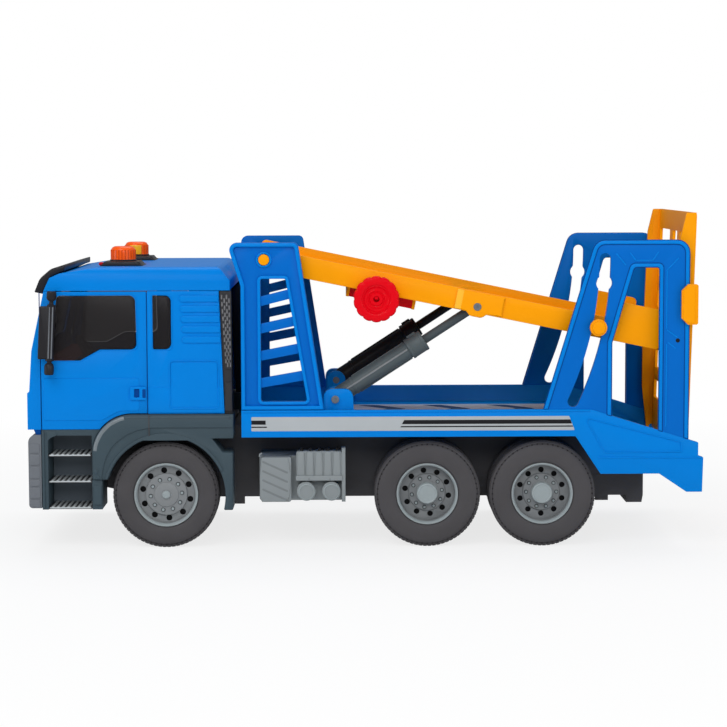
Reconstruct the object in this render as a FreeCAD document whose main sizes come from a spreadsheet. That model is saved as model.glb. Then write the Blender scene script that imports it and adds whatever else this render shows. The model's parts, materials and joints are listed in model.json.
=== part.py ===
import FreeCAD
import Part
import Sketcher
import math
import os
import re

# Toy car transporter truck, in millimetres.
# It drives towards -X, its left side is -Y, and it stands on z = 0.
# The origin is the centre of its footprint.

SIZES = {
    # Fits and cutting
    "seam": 0.3,
    "overrun": 2.0,
    "running_fit": 0.08,

    # Stations along the truck, from its middle
    "nose_x": -223.4,
    "door_front_x": -214.6,
    "door_rear_x": -144.2,
    "quarter_length": 50.7,
    "deck_front_x": -82.3,
    "deck_bend_x": 140.0,
    "tail_floor_x": 205.5,
    "tail_x": 222.4,
    "front_axle_x": -132.8,
    "middle_axle_x": 40.3,
    "rear_axle_x": 116.6,

    # Heights
    "wheel_radius": 35.2,
    "cab_sill_z": 79.4,
    "guard_rise": 9.9,
    "waist_z": 131.5,
    "roof_seam_z": 170.6,
    "roof_rise": 15.7,
    "roof_brow_drop": 4.1,
    "rail_top_z": 92.0,
    "rail_height": 17.9,
    "rail_depth": 12.0,

    # Half widths
    "deck_half": 84.0,
    "cab_half": 80.0,
    "tyre_set": 1.0,
    "chassis_half": 38.0,

    # Chassis
    "chassis_low_z": 28.0,
    "chassis_nose_z": 42.5,
    "chassis_wall": 3.0,
    "chassis_rear_x": 189.0,
    "heel_front_x": -95.0,
    "heel_rear_x": -82.6,
    "stay_front_x": 156.4,
    "stay_rear_x": 165.2,
    "stay_low_z": 24.5,
    "tow_front_x": 177.5,
    "tow_low_z": 23.0,
    "chassis_step_x": -90.0,
    "axle_radius": 2.2,
    "carrier_half": 7.0,
    "carrier_drop": 3.0,
    "front_beam_half": 56.0,

    # Cab shell
    "cab_wall": 2.5,
    "cab_corner": 9.0,
    "chin_step": 1.4,
    "waist_set": 3.2,
    "brow_set": 11.7,
    "pillar_set": 10.0,
    "roof_front_set": 10.4,
    "roof_rear_set": 4.0,
    "chin_z": 104.8,
    "cab_slant": 3.2,
    "screen_margin": 4.0,
    "screen_side": 12.0,
    "glass_thickness": 1.6,
    "roof_crown_x": -175.0,
    "roof_edge": 6.0,
    "floor_thickness": 2.6,
    "door_window_drop": 2.9,
    "door_window_low_z": 125.0,
    "door_window_sill_z": 132.2,
    "door_window_front_x": -207.8,
    "door_window_brow_x": -203.3,
    "door_window_kink_x": -188.3,
    "door_window_flat_x": -175.2,
    "door_window_rear_x": -150.9,
    "door_window_rear_top_x": -151.7,
    "window_corner": 4.0,
    "quarter_front_x": -140.3,
    "quarter_rear_x": -128.2,
    "back_window_half": 48.0,
    "back_window_low_z": 128.0,
    "back_window_top_z": 160.0,

    # Front mudguards
    "guard_flare": 2.0,
    "guard_inner": 57.5,
    "guard_band": 16.1,
    "guard_front_x": -181.0,
    "guard_front_low_z": 46.0,
    "guard_corner": 26.5,
    "guard_rear_x": -87.6,
    "guard_arch": 39.5,
    "guard_flap_z": 25.5,
    "guard_notch_x": -102.0,
    "guard_notch_run": 7.2,
    "guard_notch_drop": 9.2,

    # Bumper, steps and grille
    "bumper_flare": 1.0,
    "bumper_low_z": 27.2,
    "bumper_top_z": 76.0,
    "bumper_round": 5.0,
    "step_low_z": 26.1,
    "step_inner": 50.0,
    "step_recess": 27.0,
    "step_post": 4.0,
    "step_tail_x": -174.8,
    "step_pitch": 17.5,
    "tread_first_z": 26.4,
    "tread_height": 1.2,
    "lamp_inner": 50.0,
    "lamp_outer": 74.0,
    "lamp_low_z": 52.0,
    "lamp_top_z": 66.0,
    "lamp_depth": 3.0,
    "grille_half": 44.0,
    "grille_low_z": 84.0,
    "grille_top_z": 120.0,
    "grille_depth": 1.6,

    # Roof equipment
    "visor_side": 8.0,
    "visor_hang": 0.9,
    "visor_brow": 7.7,
    "visor_lift": 1.3,
    "visor_tip_x": -218.8,
    "visor_rise_x": -215.2,
    "visor_top_x": -198.6,
    "beacon_x": -162.4,
    "beacon_spread": 46.5,
    "beacon_radius": 8.3,
    "beacon_height": 10.0,
    "beacon_base_half": 14.5,
    "beacon_base_height": 2.8,

    # Mirrors
    "mirror_gap": 4.0,
    "mirror_depth": 5.4,
    "mirror_front_x": -215.2,
    "mirror_width": 10.2,
    "mirror_lean": 1.8,
    "mirror_low_z": 125.7,
    "mirror_top_z": 162.1,
    "mirror_arm": 5.2,
    "mirror_arm_rise": 9.0,

    # Air intakes behind the cab
    "intake_inner": 62.0,
    "intake_depth": 5.0,
    "intake_side": 0.6,

    # Cab interior
    "dash_depth": 14.0,
    "dash_top_z": 124.0,
    "seat_x": -150.0,
    "seat_length": 30.0,
    "seat_half": 15.0,
    "seat_spread": 32.0,
    "seat_top_z": 101.0,
    "seat_back": 8.0,
    "seat_back_top_z": 146.0,
    "wheel_ring": 14.0,
    "wheel_rim": 1.6,
    "steering_tilt": 30.0,

    # Lower deck
    "rail_wall": 4.0,
    "deck_plate": 3.0,
    "tail_drop": 20.4,
    "cheek_top_z": 69.6,
    "cheek_step_z": 61.0,
    "cheek_step": 3.4,
    "cheek_low_z": 36.8,
    "cheek_toe_x": 211.4,
    "cheek_heel_x": 193.3,
    "cheek_heel_z": 49.0,
    "cheek_front_x": 154.6,
    "skirt_front_x": 137.9,
    "rail_end_x": 147.9,
    "beam_low_z": 40.0,
    "beam_wall": 2.5,
    "ramp_pin_radius": 2.0,
    "lamp_height": 7.0,
    "lamp_width": 16.0,
    "lamp_stand": 1.8,

    # Gantry
    "gantry_set": 1.6,
    "gantry_thickness": 4.4,
    "gantry_kink_z": 173.9,
    "gantry_nose_x": -91.2,
    "gantry_top_z": 202.2,
    "gantry_top_rear_x": -44.6,
    "gantry_foot_x": -27.7,
    "gantry_round": 3.5,
    "gantry_wall": 2.8,
    "gantry_wall_top_z": 184.0,
    "gantry_window_front_x": -69.2,
    "gantry_window_low_z": 97.7,
    "gantry_window_top_z": 178.5,
    "gantry_window_top_run": 16.4,
    "gantry_window_low_run": 30.3,
    "slat_height": 6.4,
    "slat_pitch": 17.9,
    "slat_first_z": 106.5,
    "slat_rise": 5.3,

    # Upper deck
    "pivot_x": -66.9,
    "pivot_z": 191.0,
    "deck_slope": 11.6,
    "deck_reach": 267.7,
    "fin_reach": 228.0,
    "fin_high": 19.0,
    "deck_nose": 8.5,
    "upper_gap": 1.5,
    "upper_rail": 4.0,
    "upper_low": 7.0,
    "upper_high": 7.2,
    "upper_floor_top": 1.0,
    "upper_plate": 2.2,
    "pivot_radius": 2.8,
    "pivot_cap": 3.6,
    "peg_radius": 3.1,
    "peg_ball": 5.6,
    "boss_reach": 143.8,
    "boss_drop": 2.8,
    "boss_radius": 6.0,
    "winch_reach": 77.4,
    "winch_drop": 10.7,
    "winch_front": 57.5,
    "winch_length": 46.5,
    "winch_bracket": 2.0,
    "winch_half": 62.0,
    "winch_low": 13.8,
    "winch_shaft": 2.0,
    "knob_radius": 15.2,
    "knob_width": 9.5,
    "knob_scallop": 3.4,
    "knob_bite": 1.0,
    "knob_ring": 8.4,
    "knob_recess": 2.0,
    "knob_hub": 4.4,
    "knob_hole": 1.9,
    "knob_lobes": 14,

    # Hoops
    "hoop_thickness": 4.4,
    "slot_inset": 6.1,
    "hoop_foot_x": 116.9,
    "hoop_front_top_x": 150.7,
    "hoop_rear_x": 212.0,
    "hoop_top_z": 203.0,
    "hoop_round": 8.0,
    "hoop_window_front_x": 161.2,
    "hoop_window_kink_z": 135.9,
    "hoop_window_top_x": 175.6,
    "hoop_window_rear_x": 192.7,
    "hoop_window_top_z": 185.6,
    "slot_width": 7.3,
    "slot_sweep": 24.8,
    "notch_angle": 4.1,
    "notch_radius": 5.3,

    # Lift cylinders
    "lift_foot_x": -20.5,
    "lift_foot_z": 98.4,
    "lift_inner": 58.5,
    "lift_width": 12.0,
    "lift_pin": 2.3,
    "lug_half": 10.4,
    "lug_width": 5.8,
    "lug_rise": 6.8,
    "barrel_radius": 5.8,
    "barrel_length": 70.5,
    "barrel_start": 9.0,
    "collar_radius": 7.0,
    "collar_length": 12.0,
    "lift_eye": 5.4,
    "rod_radius": 3.0,
    "rod_tail": 76.0,
    "rod_eye": 4.2,

    # Loading ramp
    "ramp_axis_x": 210.6,
    "ramp_axis_z": 61.5,
    "ramp_gap": 1.1,
    "ramp_rail": 3.5,
    "ramp_top_x": 217.5,
    "ramp_top_z": 220.8,
    "ramp_low_x": 213.0,
    "ramp_low_z": 72.0,
    "ramp_depth": 9.6,
    "ramp_sheet": 2.0,
    "ramp_knuckle": 4.0,
    "ramp_window_height": 13.0,
    "ramp_window_first_z": 84.0,
    "ramp_window_inner": 23.0,
    "ramp_window_outer": 70.0,
    "ramp_centre_window": 9.5,
    "latch_front_x": 206.6,
    "latch_rear_x": 217.4,
    "latch_low_z": 147.8,
    "latch_top_z": 174.3,
    "latch_chamfer": 4.2,
    "latch_plate": 3.2,
    "latch_gap": 0.9,

    # Side equipment
    "kit_set": 6.0,
    "kit_front_x": -71.1,
    "kit_rear_x": -13.9,
    "kit_low_z": 30.3,
    "kit_top_z": 66.2,
    "kit_box_face": 70.0,
    "tank_radius": 6.0,
    "tank_first_x": -40.2,
    "tank_pitch": 16.8,
    "tank_z": 37.6,
    "battery_length": 20.0,
    "battery_top_z": 60.2,
    "chest_length": 30.0,
    "chest_low_z": 44.6,
    "chest_top_z": 64.0,

    # Wheels
    "front_tyre_width": 20.0,
    "twin_tyre_width": 38.0,
    "twin_groove": 3.0,
    "twin_groove_depth": 9.0,
    "tyre_shoulder": 2.6,
    "front_rim_radius": 21.4,
    "rear_rim_radius": 20.6,
    "rim_inset": 1.2,
    "rim_lip": 1.5,
    "rim_wall": 2.4,
    "front_dish": 4.6,
    "rear_dish": 9.5,
    "front_hub_radius": 13.6,
    "rear_hub_radius": 6.9,
    "hub_cover": 2.0,
    "rim_hole": 2.2,
    "front_hole_circle": 16.0,
    "rear_hole_circle": 14.6,
    "rim_hole_share": 0.6,
    "rim_holes": 10,
}

# Lengths worked out from the sizes above, as words in the same text
DERIVED = {
    "cab_rear_x": "door_rear_x + quarter_length",
    "roof_rear_x": "cab_rear_x + roof_rear_set",
    "waist_front_x": "nose_x + waist_set",
    "brow_x": "nose_x + brow_set",
    "pillar_top_x": "door_front_x + pillar_set",
    "roof_front_x": "brow_x + roof_front_set",
    "roof_top_z": "roof_seam_z + roof_rise",
    "roof_brow_z": "roof_top_z - roof_brow_drop",
    "visor_half": "cab_half - visor_side",
    "visor_tip_z": "roof_seam_z - visor_hang",
    "visor_rise_z": "roof_top_z - visor_brow",
    "visor_top_z": "roof_top_z + visor_lift",
    "mirror_inner": "cab_half + mirror_gap",
    "mirror_outer": "mirror_inner + mirror_depth",
    "guard_half": "cab_half + guard_flare",
    "guard_top_z": "cab_sill_z + guard_rise",
    "bumper_half": "cab_half + bumper_flare",
    "step_face": "cab_half",
    "screen_half": "cab_half - screen_side",
    "door_window_top_z": "roof_seam_z - door_window_drop",
    "intake_half": "cab_half - intake_side",
    "tyre_outer": "cab_half - tyre_set",
    "kit_half": "deck_half - kit_set",
    "kit_inner": "chassis_half",
    "rail_low_z": "rail_top_z - rail_height",
    "deck_floor_z": "rail_top_z - rail_depth",
    "hoop_outer": "deck_half",
    "hoop_inner": "hoop_outer - hoop_thickness",
    "gantry_outer": "deck_half - gantry_set",
    "gantry_inner": "gantry_outer - gantry_thickness",
    "upper_half": "gantry_inner - upper_gap",
    "ramp_half": "hoop_inner - ramp_gap",
    "peg_reach": "hoop_front_top_x + slot_inset - pivot_x",
    "floor_under_z": "deck_floor_z - deck_plate",
    "door_hinge_x": "door_front_x + seam + cab_wall / 2",
    "skin": "cab_half - cab_wall",
    "screen_low_z": "waist_z + screen_margin / 2",
    "screen_top_z": "roof_seam_z - screen_margin",
    "tail_fall": "tail_drop / (tail_floor_x - deck_bend_x)",
    "cheek_fall": "(rail_top_z - cheek_top_z) / (tail_x - cheek_step - rail_end_x)",
    "hoop_foot_z": "rail_top_z - cheek_fall * (hoop_rear_x - rail_end_x)",
    "upper_under": "upper_floor_top + upper_plate",
    "ramp_lean": "(ramp_top_x - ramp_low_x) / (ramp_top_z - ramp_low_z)",
    "ramp_window_last_z": "ramp_top_z - ramp_depth - ramp_knuckle - ramp_window_height",
    "ramp_window_pitch": "(ramp_window_last_z - ramp_window_first_z) / 5",
    "ramp_window_reach": "(ramp_top_z - ramp_low_z) / 2",
    "lift_rest": "sqrt(lift_reach_x * lift_reach_x + lift_reach_z * lift_reach_z)",
    "lift_reach_x": "pivot_x + boss_reach * cos(deck_slope) - boss_drop * sin(deck_slope) - lift_foot_x",
    "lift_reach_z": "pivot_z - boss_reach * sin(deck_slope) - boss_drop * cos(deck_slope) - lift_foot_z",
    "lift_outer": "lift_inner + lift_width",
    "rim_face": "tyre_outer - rim_inset",
}

doc = FreeCAD.newDocument("CarTransporter")
sheet = doc.addObject("Spreadsheet::Sheet", "Sizes")
for row, (alias, size) in enumerate(SIZES.items(), start=1):
    cell = "A%d" % row
    sheet.set(cell, str(size))
    sheet.setAlias(cell, alias)
doc.recompute()


# Text helpers: a size is written as words and read from the sheet

def link(text):
    def swap(match):
        word = match.group()
        if word in SIZES:
            return "Sizes." + word
        if word in DERIVED:
            return "(" + link(DERIVED[word]) + ")"
        return word
    return re.sub(r"[a-z][a-z_0-9]*", swap, text)


def value(text):
    return float(sheet.evalExpression(link(text)))


def bind(item, prop, text):
    item.setExpression(prop, link(text))


def span(inner, outer, side):
    if side < 0:
        return "-(%s)" % outer, "-(%s)" % inner
    return inner, outer


# Sketches: outlines of named points, each point (across, up) or (across, up, corner radius)

NORMAL_SIGN = {"XZ_Plane": -1, "YZ_Plane": 1, "XY_Plane": 1}


def new_sketch(body, name, role, offset):
    sketch = body.newObject("Sketcher::SketchObject", name)
    plane = [item for item in body.Origin.OriginFeatures if item.Role == role][0]
    sketch.AttachmentSupport = [(plane, "")]
    sketch.MapMode = "FlatFace"
    bind(sketch, "AttachmentOffset.Base.z", offset)
    return sketch


def outline(sketch, points):
    count = len(points)
    spots = [FreeCAD.Vector(value(p[0]), value(p[1]), 0) for p in points]
    starts = []
    ends = []
    arcs = {}
    for i, spot in enumerate(spots):
        if len(points[i]) < 3:
            starts.append(spot)
            ends.append(spot)
            continue
        back = (spots[i - 1] - spot).normalize()
        ahead = (spots[(i + 1) % count] - spot).normalize()
        half = back.getAngle(ahead) / 2
        radius = value(points[i][2])
        reach = radius / math.tan(half)
        middle = (back + ahead).normalize()
        centre = spot + middle * (radius / math.sin(half))
        ends.append(spot + back * reach)
        starts.append(spot + ahead * reach)
        turn = back.cross(ahead).z
        first = spot + back * reach - centre
        last = spot + ahead * reach - centre
        if turn > 0:
            first, last = last, first
        start_angle = math.atan2(first.y, first.x)
        end_angle = math.atan2(last.y, last.x)
        if end_angle < start_angle:
            end_angle += 2 * math.pi
        circle = Part.Circle(centre, FreeCAD.Vector(0, 0, 1), radius)
        arcs[i] = (Part.ArcOfCircle(circle, start_angle, end_angle), turn > 0)
    lines = [Part.LineSegment(starts[i], ends[(i + 1) % count]) for i in range(count)]
    sketch.addGeometry(lines)
    rules = []
    bindings = []
    for i, spot in enumerate(spots):
        before = (i - 1) % count
        if i not in arcs:
            rules.append(Sketcher.Constraint("Coincident", before, 2, i, 1))
            geometry = i
        else:
            arc, swapped = arcs[i]
            arc_id = sketch.addGeometry(arc)
            corner = sketch.addGeometry(Part.Point(spot), True)
            near, far = (2, 1) if swapped else (1, 2)
            rules.append(Sketcher.Constraint("Tangent", before, 2, arc_id, near))
            rules.append(Sketcher.Constraint("Tangent", i, 1, arc_id, far))
            rules.append(Sketcher.Constraint("PointOnObject", corner, 1, before))
            rules.append(Sketcher.Constraint("PointOnObject", corner, 1, i))
            bindings.append((len(rules), points[i][2]))
            rules.append(Sketcher.Constraint("Radius", arc_id, arc.Radius))
            geometry = corner
        bindings.append((len(rules), points[i][0]))
        rules.append(Sketcher.Constraint("DistanceX", -1, 1, geometry, 1, spot.x))
        bindings.append((len(rules), points[i][1]))
        rules.append(Sketcher.Constraint("DistanceY", -1, 1, geometry, 1, spot.y))
    sketch.addConstraint(rules)
    for index, text in bindings:
        bind(sketch, "Constraints[%d]" % index, text)


def circle(sketch, centre, radius):
    spot = FreeCAD.Vector(value(centre[0]), value(centre[1]), 0)
    ring = sketch.addGeometry(Part.Circle(spot, FreeCAD.Vector(0, 0, 1), value(radius)))
    sketch.addConstraint([
        Sketcher.Constraint("DistanceX", -1, 1, ring, 3, spot.x),
        Sketcher.Constraint("DistanceY", -1, 1, ring, 3, spot.y),
        Sketcher.Constraint("Radius", ring, value(radius)),
    ])
    for index, text in enumerate((centre[0], centre[1], radius)):
        bind(sketch, "Constraints[%d]" % index, text)


# Bodies and their features

def new_body(label):
    body = doc.addObject("PartDesign::Body", label)
    body.Label = label
    return body


def draw(body, name, role, shape, offset):
    sketch = new_sketch(body, name + "_sketch", role, offset)
    if shape[0] == "circle":
        circle(sketch, shape[1], shape[2])
    else:
        outline(sketch, shape)
    return sketch


def pad(body, name, role, shape, low, high):
    offset = low if NORMAL_SIGN[role] > 0 else "-(%s)" % high
    feature_sketch = draw(body, name, role, shape, offset)
    feature = body.newObject("PartDesign::Pad", name)
    feature.Profile = feature_sketch
    bind(feature, "Length", "%s - (%s)" % (high, low))
    doc.recompute()
    return feature


def pocket(body, name, role, shape, low, high):
    offset = high if NORMAL_SIGN[role] > 0 else "-(%s)" % low
    before = body.Shape.Volume
    feature_sketch = draw(body, name, role, shape, offset)
    feature = body.newObject("PartDesign::Pocket", name)
    feature.Profile = feature_sketch
    bind(feature, "Length", "%s - (%s)" % (high, low))
    doc.recompute()
    if not feature.Shape.Volume < before:
        raise RuntimeError("%s in %s cuts nothing" % (name, body.Label))
    return feature


def revolve(body, name, points):
    sketch = new_sketch(body, name + "_sketch", "YZ_Plane", "0")
    outline(sketch, points)
    feature = body.newObject("PartDesign::Revolution", name)
    feature.Profile = sketch
    feature.ReferenceAxis = (sketch, ["H_Axis"])
    feature.Angle = 360
    doc.recompute()
    return feature


def polar(body, name, feature, count):
    before = body.Shape.Volume
    pattern = body.newObject("PartDesign::PolarPattern", name)
    pattern.Originals = [feature]
    pattern.Axis = (feature.Profile[0], ["N_Axis"])
    pattern.Angle = 360
    bind(pattern, "Occurrences", count)
    body.Tip = pattern
    doc.recompute()
    if abs(pattern.Shape.Volume - before) < value("seam") ** 3:
        raise RuntimeError("%s in %s repeats nothing" % (name, body.Label))
    return pattern


def box_outline(low_x, high_x, low_z, high_z, corner=None):
    extra = (corner,) if corner else ()
    return [(low_x, low_z) + extra, (high_x, low_z) + extra,
            (high_x, high_z) + extra, (low_x, high_z) + extra]


def place(item, across, along, up):
    bind(item, "Placement.Base.x", across)
    bind(item, "Placement.Base.y", along)
    bind(item, "Placement.Base.z", up)


def tilt(item, angle):
    item.Placement = FreeCAD.Placement(FreeCAD.Vector(0, 0, 0),
                                       FreeCAD.Rotation(FreeCAD.Vector(0, 1, 0), value(angle)))
    bind(item, "Placement.Rotation.Angle", angle)


def cutter(name, radius, height):
    item = doc.addObject("Part::Cylinder", name)
    bind(item, "Radius", radius)
    bind(item, "Height", height)
    return item


SIDES = (("left", -1), ("right", 1))


# Chassis: a hollow frame with a cross wall and two bored carriers at each axle

def make_chassis():
    body = new_body("chassis_frame")
    lower = "chassis_low_z - carrier_drop"
    points = [("door_front_x", "cab_sill_z"), ("door_front_x", "chassis_nose_z")]
    for axle in ("front_axle_x", "middle_axle_x", "rear_axle_x"):
        points += [("%s - carrier_half * 1.5" % axle, "chassis_low_z"),
                   ("%s - carrier_half" % axle, lower),
                   ("%s + carrier_half" % axle, lower),
                   ("%s + carrier_half * 1.5" % axle, "chassis_low_z")]
        if axle == "front_axle_x":
            points += [("heel_front_x", "chassis_low_z"), ("heel_front_x", "tow_low_z"),
                       ("heel_rear_x", "tow_low_z"), ("heel_rear_x", "chassis_low_z")]
    points += [("stay_front_x", "chassis_low_z"), ("stay_front_x", "stay_low_z"),
               ("stay_rear_x", "stay_low_z"), ("stay_rear_x", "chassis_low_z"),
               ("tow_front_x", "chassis_low_z"), ("tow_front_x", "tow_low_z"),
               ("chassis_rear_x - seam * 3", "tow_low_z"), ("chassis_rear_x", "chassis_low_z"),
               ("chassis_rear_x", "cheek_heel_z"),
               ("chassis_rear_x - tail_drop", "floor_under_z - tail_drop / 2"),
               ("deck_bend_x - deck_plate", "floor_under_z"),
               ("chassis_step_x", "floor_under_z"), ("chassis_step_x", "cab_sill_z")]
    pad(body, "frame", "XZ_Plane", points, "-chassis_half", "chassis_half")
    inner = "chassis_half - chassis_wall"
    bays = (("door_front_x + chassis_wall", "front_axle_x - carrier_half"),
            ("front_axle_x + carrier_half", "middle_axle_x - carrier_half"),
            ("middle_axle_x + carrier_half", "rear_axle_x - carrier_half"),
            ("rear_axle_x + carrier_half", "chassis_rear_x - tail_drop"))
    for index, (start, stop) in enumerate(bays):
        pocket(body, "bay_%d" % index, "XY_Plane",
               box_outline(start, stop, "-(%s)" % inner, inner),
               "chassis_low_z - overrun - carrier_drop", "cheek_heel_z + tail_drop / 2")
    pad(body, "front_beam", "XZ_Plane",
        box_outline("front_axle_x - carrier_half", "front_axle_x + carrier_half", lower,
                    "wheel_radius + carrier_half"),
        "-front_beam_half", "front_beam_half")
    for axle in ("front", "middle", "rear"):
        pocket(body, axle + "_bore", "XZ_Plane",
               ("circle", (axle + "_axle_x", "wheel_radius"), "axle_radius + running_fit"),
               "-front_beam_half - overrun", "front_beam_half + overrun")
    return body


# Cab

FRONT_PROFILE = [("nose_x", "cab_sill_z"), ("nose_x", "chin_z - chin_step"),
                 ("nose_x + chin_step", "chin_z"), ("waist_front_x", "waist_z"),
                 ("brow_x", "roof_seam_z")]


def make_cab_front():
    body = new_body("cab_front_panel")
    rear = [("pillar_top_x", "roof_seam_z"), ("door_front_x", "waist_z"), ("door_front_x", "cab_sill_z")]
    pad(body, "shell", "XZ_Plane", FRONT_PROFILE + rear, "-cab_half", "cab_half")
    inside = [("nose_x + cab_wall", "cab_sill_z - overrun"), ("nose_x + cab_wall", "chin_z - chin_step"),
              ("nose_x + chin_step + cab_wall", "chin_z"), ("waist_front_x + cab_wall", "waist_z"),
              ("brow_x + cab_wall", "roof_seam_z"),
              ("brow_x + cab_wall", "roof_seam_z + overrun"),
              ("door_rear_x", "roof_seam_z + overrun"), ("door_rear_x", "cab_sill_z - overrun")]
    pocket(body, "inside", "XZ_Plane", inside, "-skin", "skin")
    pocket(body, "screen_opening", "YZ_Plane",
           box_outline("-screen_half", "screen_half", "screen_low_z", "screen_top_z", "window_corner"),
           "nose_x - overrun", "door_front_x + cab_corner * 2")
    pocket(body, "grille_recess", "YZ_Plane",
           box_outline("-grille_half", "grille_half", "grille_low_z", "grille_top_z", "window_corner"),
           "nose_x - overrun", "nose_x + chin_step + grille_depth / 2")
    return body


def make_windshield():
    body = new_body("windshield")
    lean = "(brow_x - waist_front_x) / (roof_seam_z - waist_z)"
    low_x = "waist_front_x + %s * (screen_low_z + seam - waist_z) + seam" % lean
    top_x = "waist_front_x + %s * (screen_top_z - seam - waist_z) + seam" % lean
    points = [(low_x, "screen_low_z + seam"), (top_x, "screen_top_z - seam"),
              (top_x + " + glass_thickness", "screen_top_z - seam"),
              (low_x + " + glass_thickness", "screen_low_z + seam")]
    pad(body, "pane", "XZ_Plane", points, "-(screen_half - window_corner)", "screen_half - window_corner")
    return body


def make_roof():
    body = new_body("cab_roof")
    low = "roof_seam_z + seam"
    points = [("brow_x", low), ("roof_front_x - cab_corner * 0.7", "roof_brow_z - cab_corner * 0.3"),
              ("roof_front_x", "roof_brow_z"), ("roof_crown_x", "roof_top_z"),
              ("cab_rear_x - cab_slant", "roof_top_z", "roof_edge"), ("roof_rear_x", "roof_top_z - cab_corner", "cab_wall"),
              ("roof_rear_x", low)]
    pad(body, "shell", "XZ_Plane", points, "-cab_half", "cab_half")
    for name, side in SIDES:
        sign = "" if side > 0 else "-"
        cut = [(sign + "(cab_half + overrun)", "roof_top_z - roof_edge * 1.2"),
               (sign + "cab_half", "roof_top_z - roof_edge * 1.2"), (sign + "cab_half", "roof_top_z", "roof_edge"),
               (sign + "(cab_half - roof_edge * 1.2)", "roof_top_z"),
               (sign + "(cab_half - roof_edge * 1.2)", "roof_top_z + overrun"),
               (sign + "(cab_half + overrun)", "roof_top_z + overrun")]
        pocket(body, name + "_rounding", "YZ_Plane", cut, "brow_x - cab_corner", "roof_rear_x + overrun")
    inside = [("brow_x + cab_wall * 1.5", "roof_seam_z - overrun"),
              ("roof_front_x", "roof_brow_z - cab_wall * 1.5"),
              ("roof_crown_x", "roof_top_z - cab_wall * 1.2"),
              ("cab_rear_x - cab_slant - cab_wall * 2", "roof_top_z - cab_wall * 1.2"),
              ("cab_rear_x - cab_slant - cab_wall", "roof_seam_z - overrun")]
    pocket(body, "inside", "XZ_Plane", inside, "-(skin - cab_wall)", "skin - cab_wall")
    return body


def rear_edge_x(height):
    return "cab_rear_x - cab_slant * (%s - guard_top_z) / (roof_seam_z - guard_top_z)" % height


def make_cab_side(name, side):
    body = new_body("cab_side_" + name)
    low, high = span("skin", "cab_half", side)
    points = [("door_rear_x + seam", "guard_top_z + seam"), ("cab_rear_x", "guard_top_z + seam"),
              ("cab_rear_x - cab_slant", "roof_seam_z"), ("door_rear_x + seam", "roof_seam_z")]
    pad(body, "panel", "XZ_Plane", points, low, high)
    window = [("quarter_front_x", "door_window_sill_z"), ("quarter_rear_x", "door_window_sill_z", "window_corner"),
              ("quarter_rear_x", "door_window_top_z", "window_corner"), ("quarter_front_x", "door_window_top_z")]
    low, high = span("skin - overrun", "cab_half + overrun", side)
    pocket(body, "window", "XZ_Plane", window, low, high)
    return body


def make_quarter_glass():
    body = new_body("quarter_windows")
    for name, side in SIDES:
        low, high = span("cab_half - seam - glass_thickness", "cab_half - seam", side)
        pane = [("quarter_front_x + seam", "door_window_sill_z + seam"),
                ("quarter_rear_x - seam", "door_window_sill_z + seam", "window_corner"),
                ("quarter_rear_x - seam", "door_window_top_z - seam", "window_corner"),
                ("quarter_front_x + seam", "door_window_top_z - seam")]
        pad(body, name + "_pane", "XZ_Plane", pane, low, high)
    return body


def make_cab_back():
    body = new_body("cab_back_panel")
    wide = "skin - seam"
    narrow = "guard_inner - seam"
    step = "guard_top_z + seam"
    points = [("-(%s)" % narrow, "cab_sill_z"), (narrow, "cab_sill_z"), (narrow, step), (wide, step),
              (wide, "roof_seam_z"), ("-(%s)" % wide, "roof_seam_z"), ("-(%s)" % wide, step),
              ("-(%s)" % narrow, step)]
    rear = "cab_rear_x - cab_slant"
    pad(body, "panel", "YZ_Plane", points, rear + " - cab_wall", rear)
    pocket(body, "window", "YZ_Plane",
           box_outline("-back_window_half", "back_window_half", "back_window_low_z", "back_window_top_z",
                       "window_corner"), rear + " - cab_wall - overrun", rear + " + overrun")
    return body


def make_back_glass():
    body = new_body("back_window")
    rear = "cab_rear_x - cab_slant - seam"
    pad(body, "pane", "YZ_Plane",
        box_outline("-(back_window_half - seam)", "back_window_half - seam", "back_window_low_z + seam",
                    "back_window_top_z - seam", "window_corner"),
        rear + " - glass_thickness", rear)
    return body


def make_cab_floor():
    body = new_body("cab_floor")
    front = "nose_x + cab_wall + chin_step + seam"
    bend = "guard_front_x - seam"
    rear = "cab_rear_x - cab_slant - cab_wall - seam"
    wide = "skin - seam"
    narrow = "guard_inner - seam"
    points = [(front, "-(%s)" % wide), (bend, "-(%s)" % wide), (bend, "-(%s)" % narrow),
              (rear, "-(%s)" % narrow), (rear, narrow), (bend, narrow), (bend, wide), (front, wide)]
    pad(body, "plate", "XY_Plane", points, "cab_sill_z", "cab_sill_z + floor_thickness")
    return body


def make_interior():
    body = new_body("cab_interior")
    floor = "cab_sill_z + floor_thickness"
    front = "waist_front_x + cab_wall * 2 + chin_step"
    dash = [(front, floor), (front + " + dash_depth * 0.5", floor),
            (front + " + dash_depth", "dash_top_z - dash_depth"), (front + " + dash_depth", "dash_top_z", "cab_wall"),
            (front, "dash_top_z")]
    pad(body, "dashboard", "XZ_Plane", dash, "-(skin - cab_wall)", "skin - cab_wall")
    seat = [("seat_x", floor), ("seat_x + seat_length", floor),
            ("seat_x + seat_length + seat_back", "seat_back_top_z", "cab_wall"),
            ("seat_x + seat_length", "seat_back_top_z", "cab_wall"),
            ("seat_x + seat_length - seat_back / 2", "seat_top_z"), ("seat_x", "seat_top_z", "cab_wall")]
    for name, side in SIDES:
        low, high = span("seat_spread - seat_half", "seat_spread + seat_half", side)
        pad(body, name + "_seat", "XZ_Plane", seat, low, high)
    return body


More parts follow.
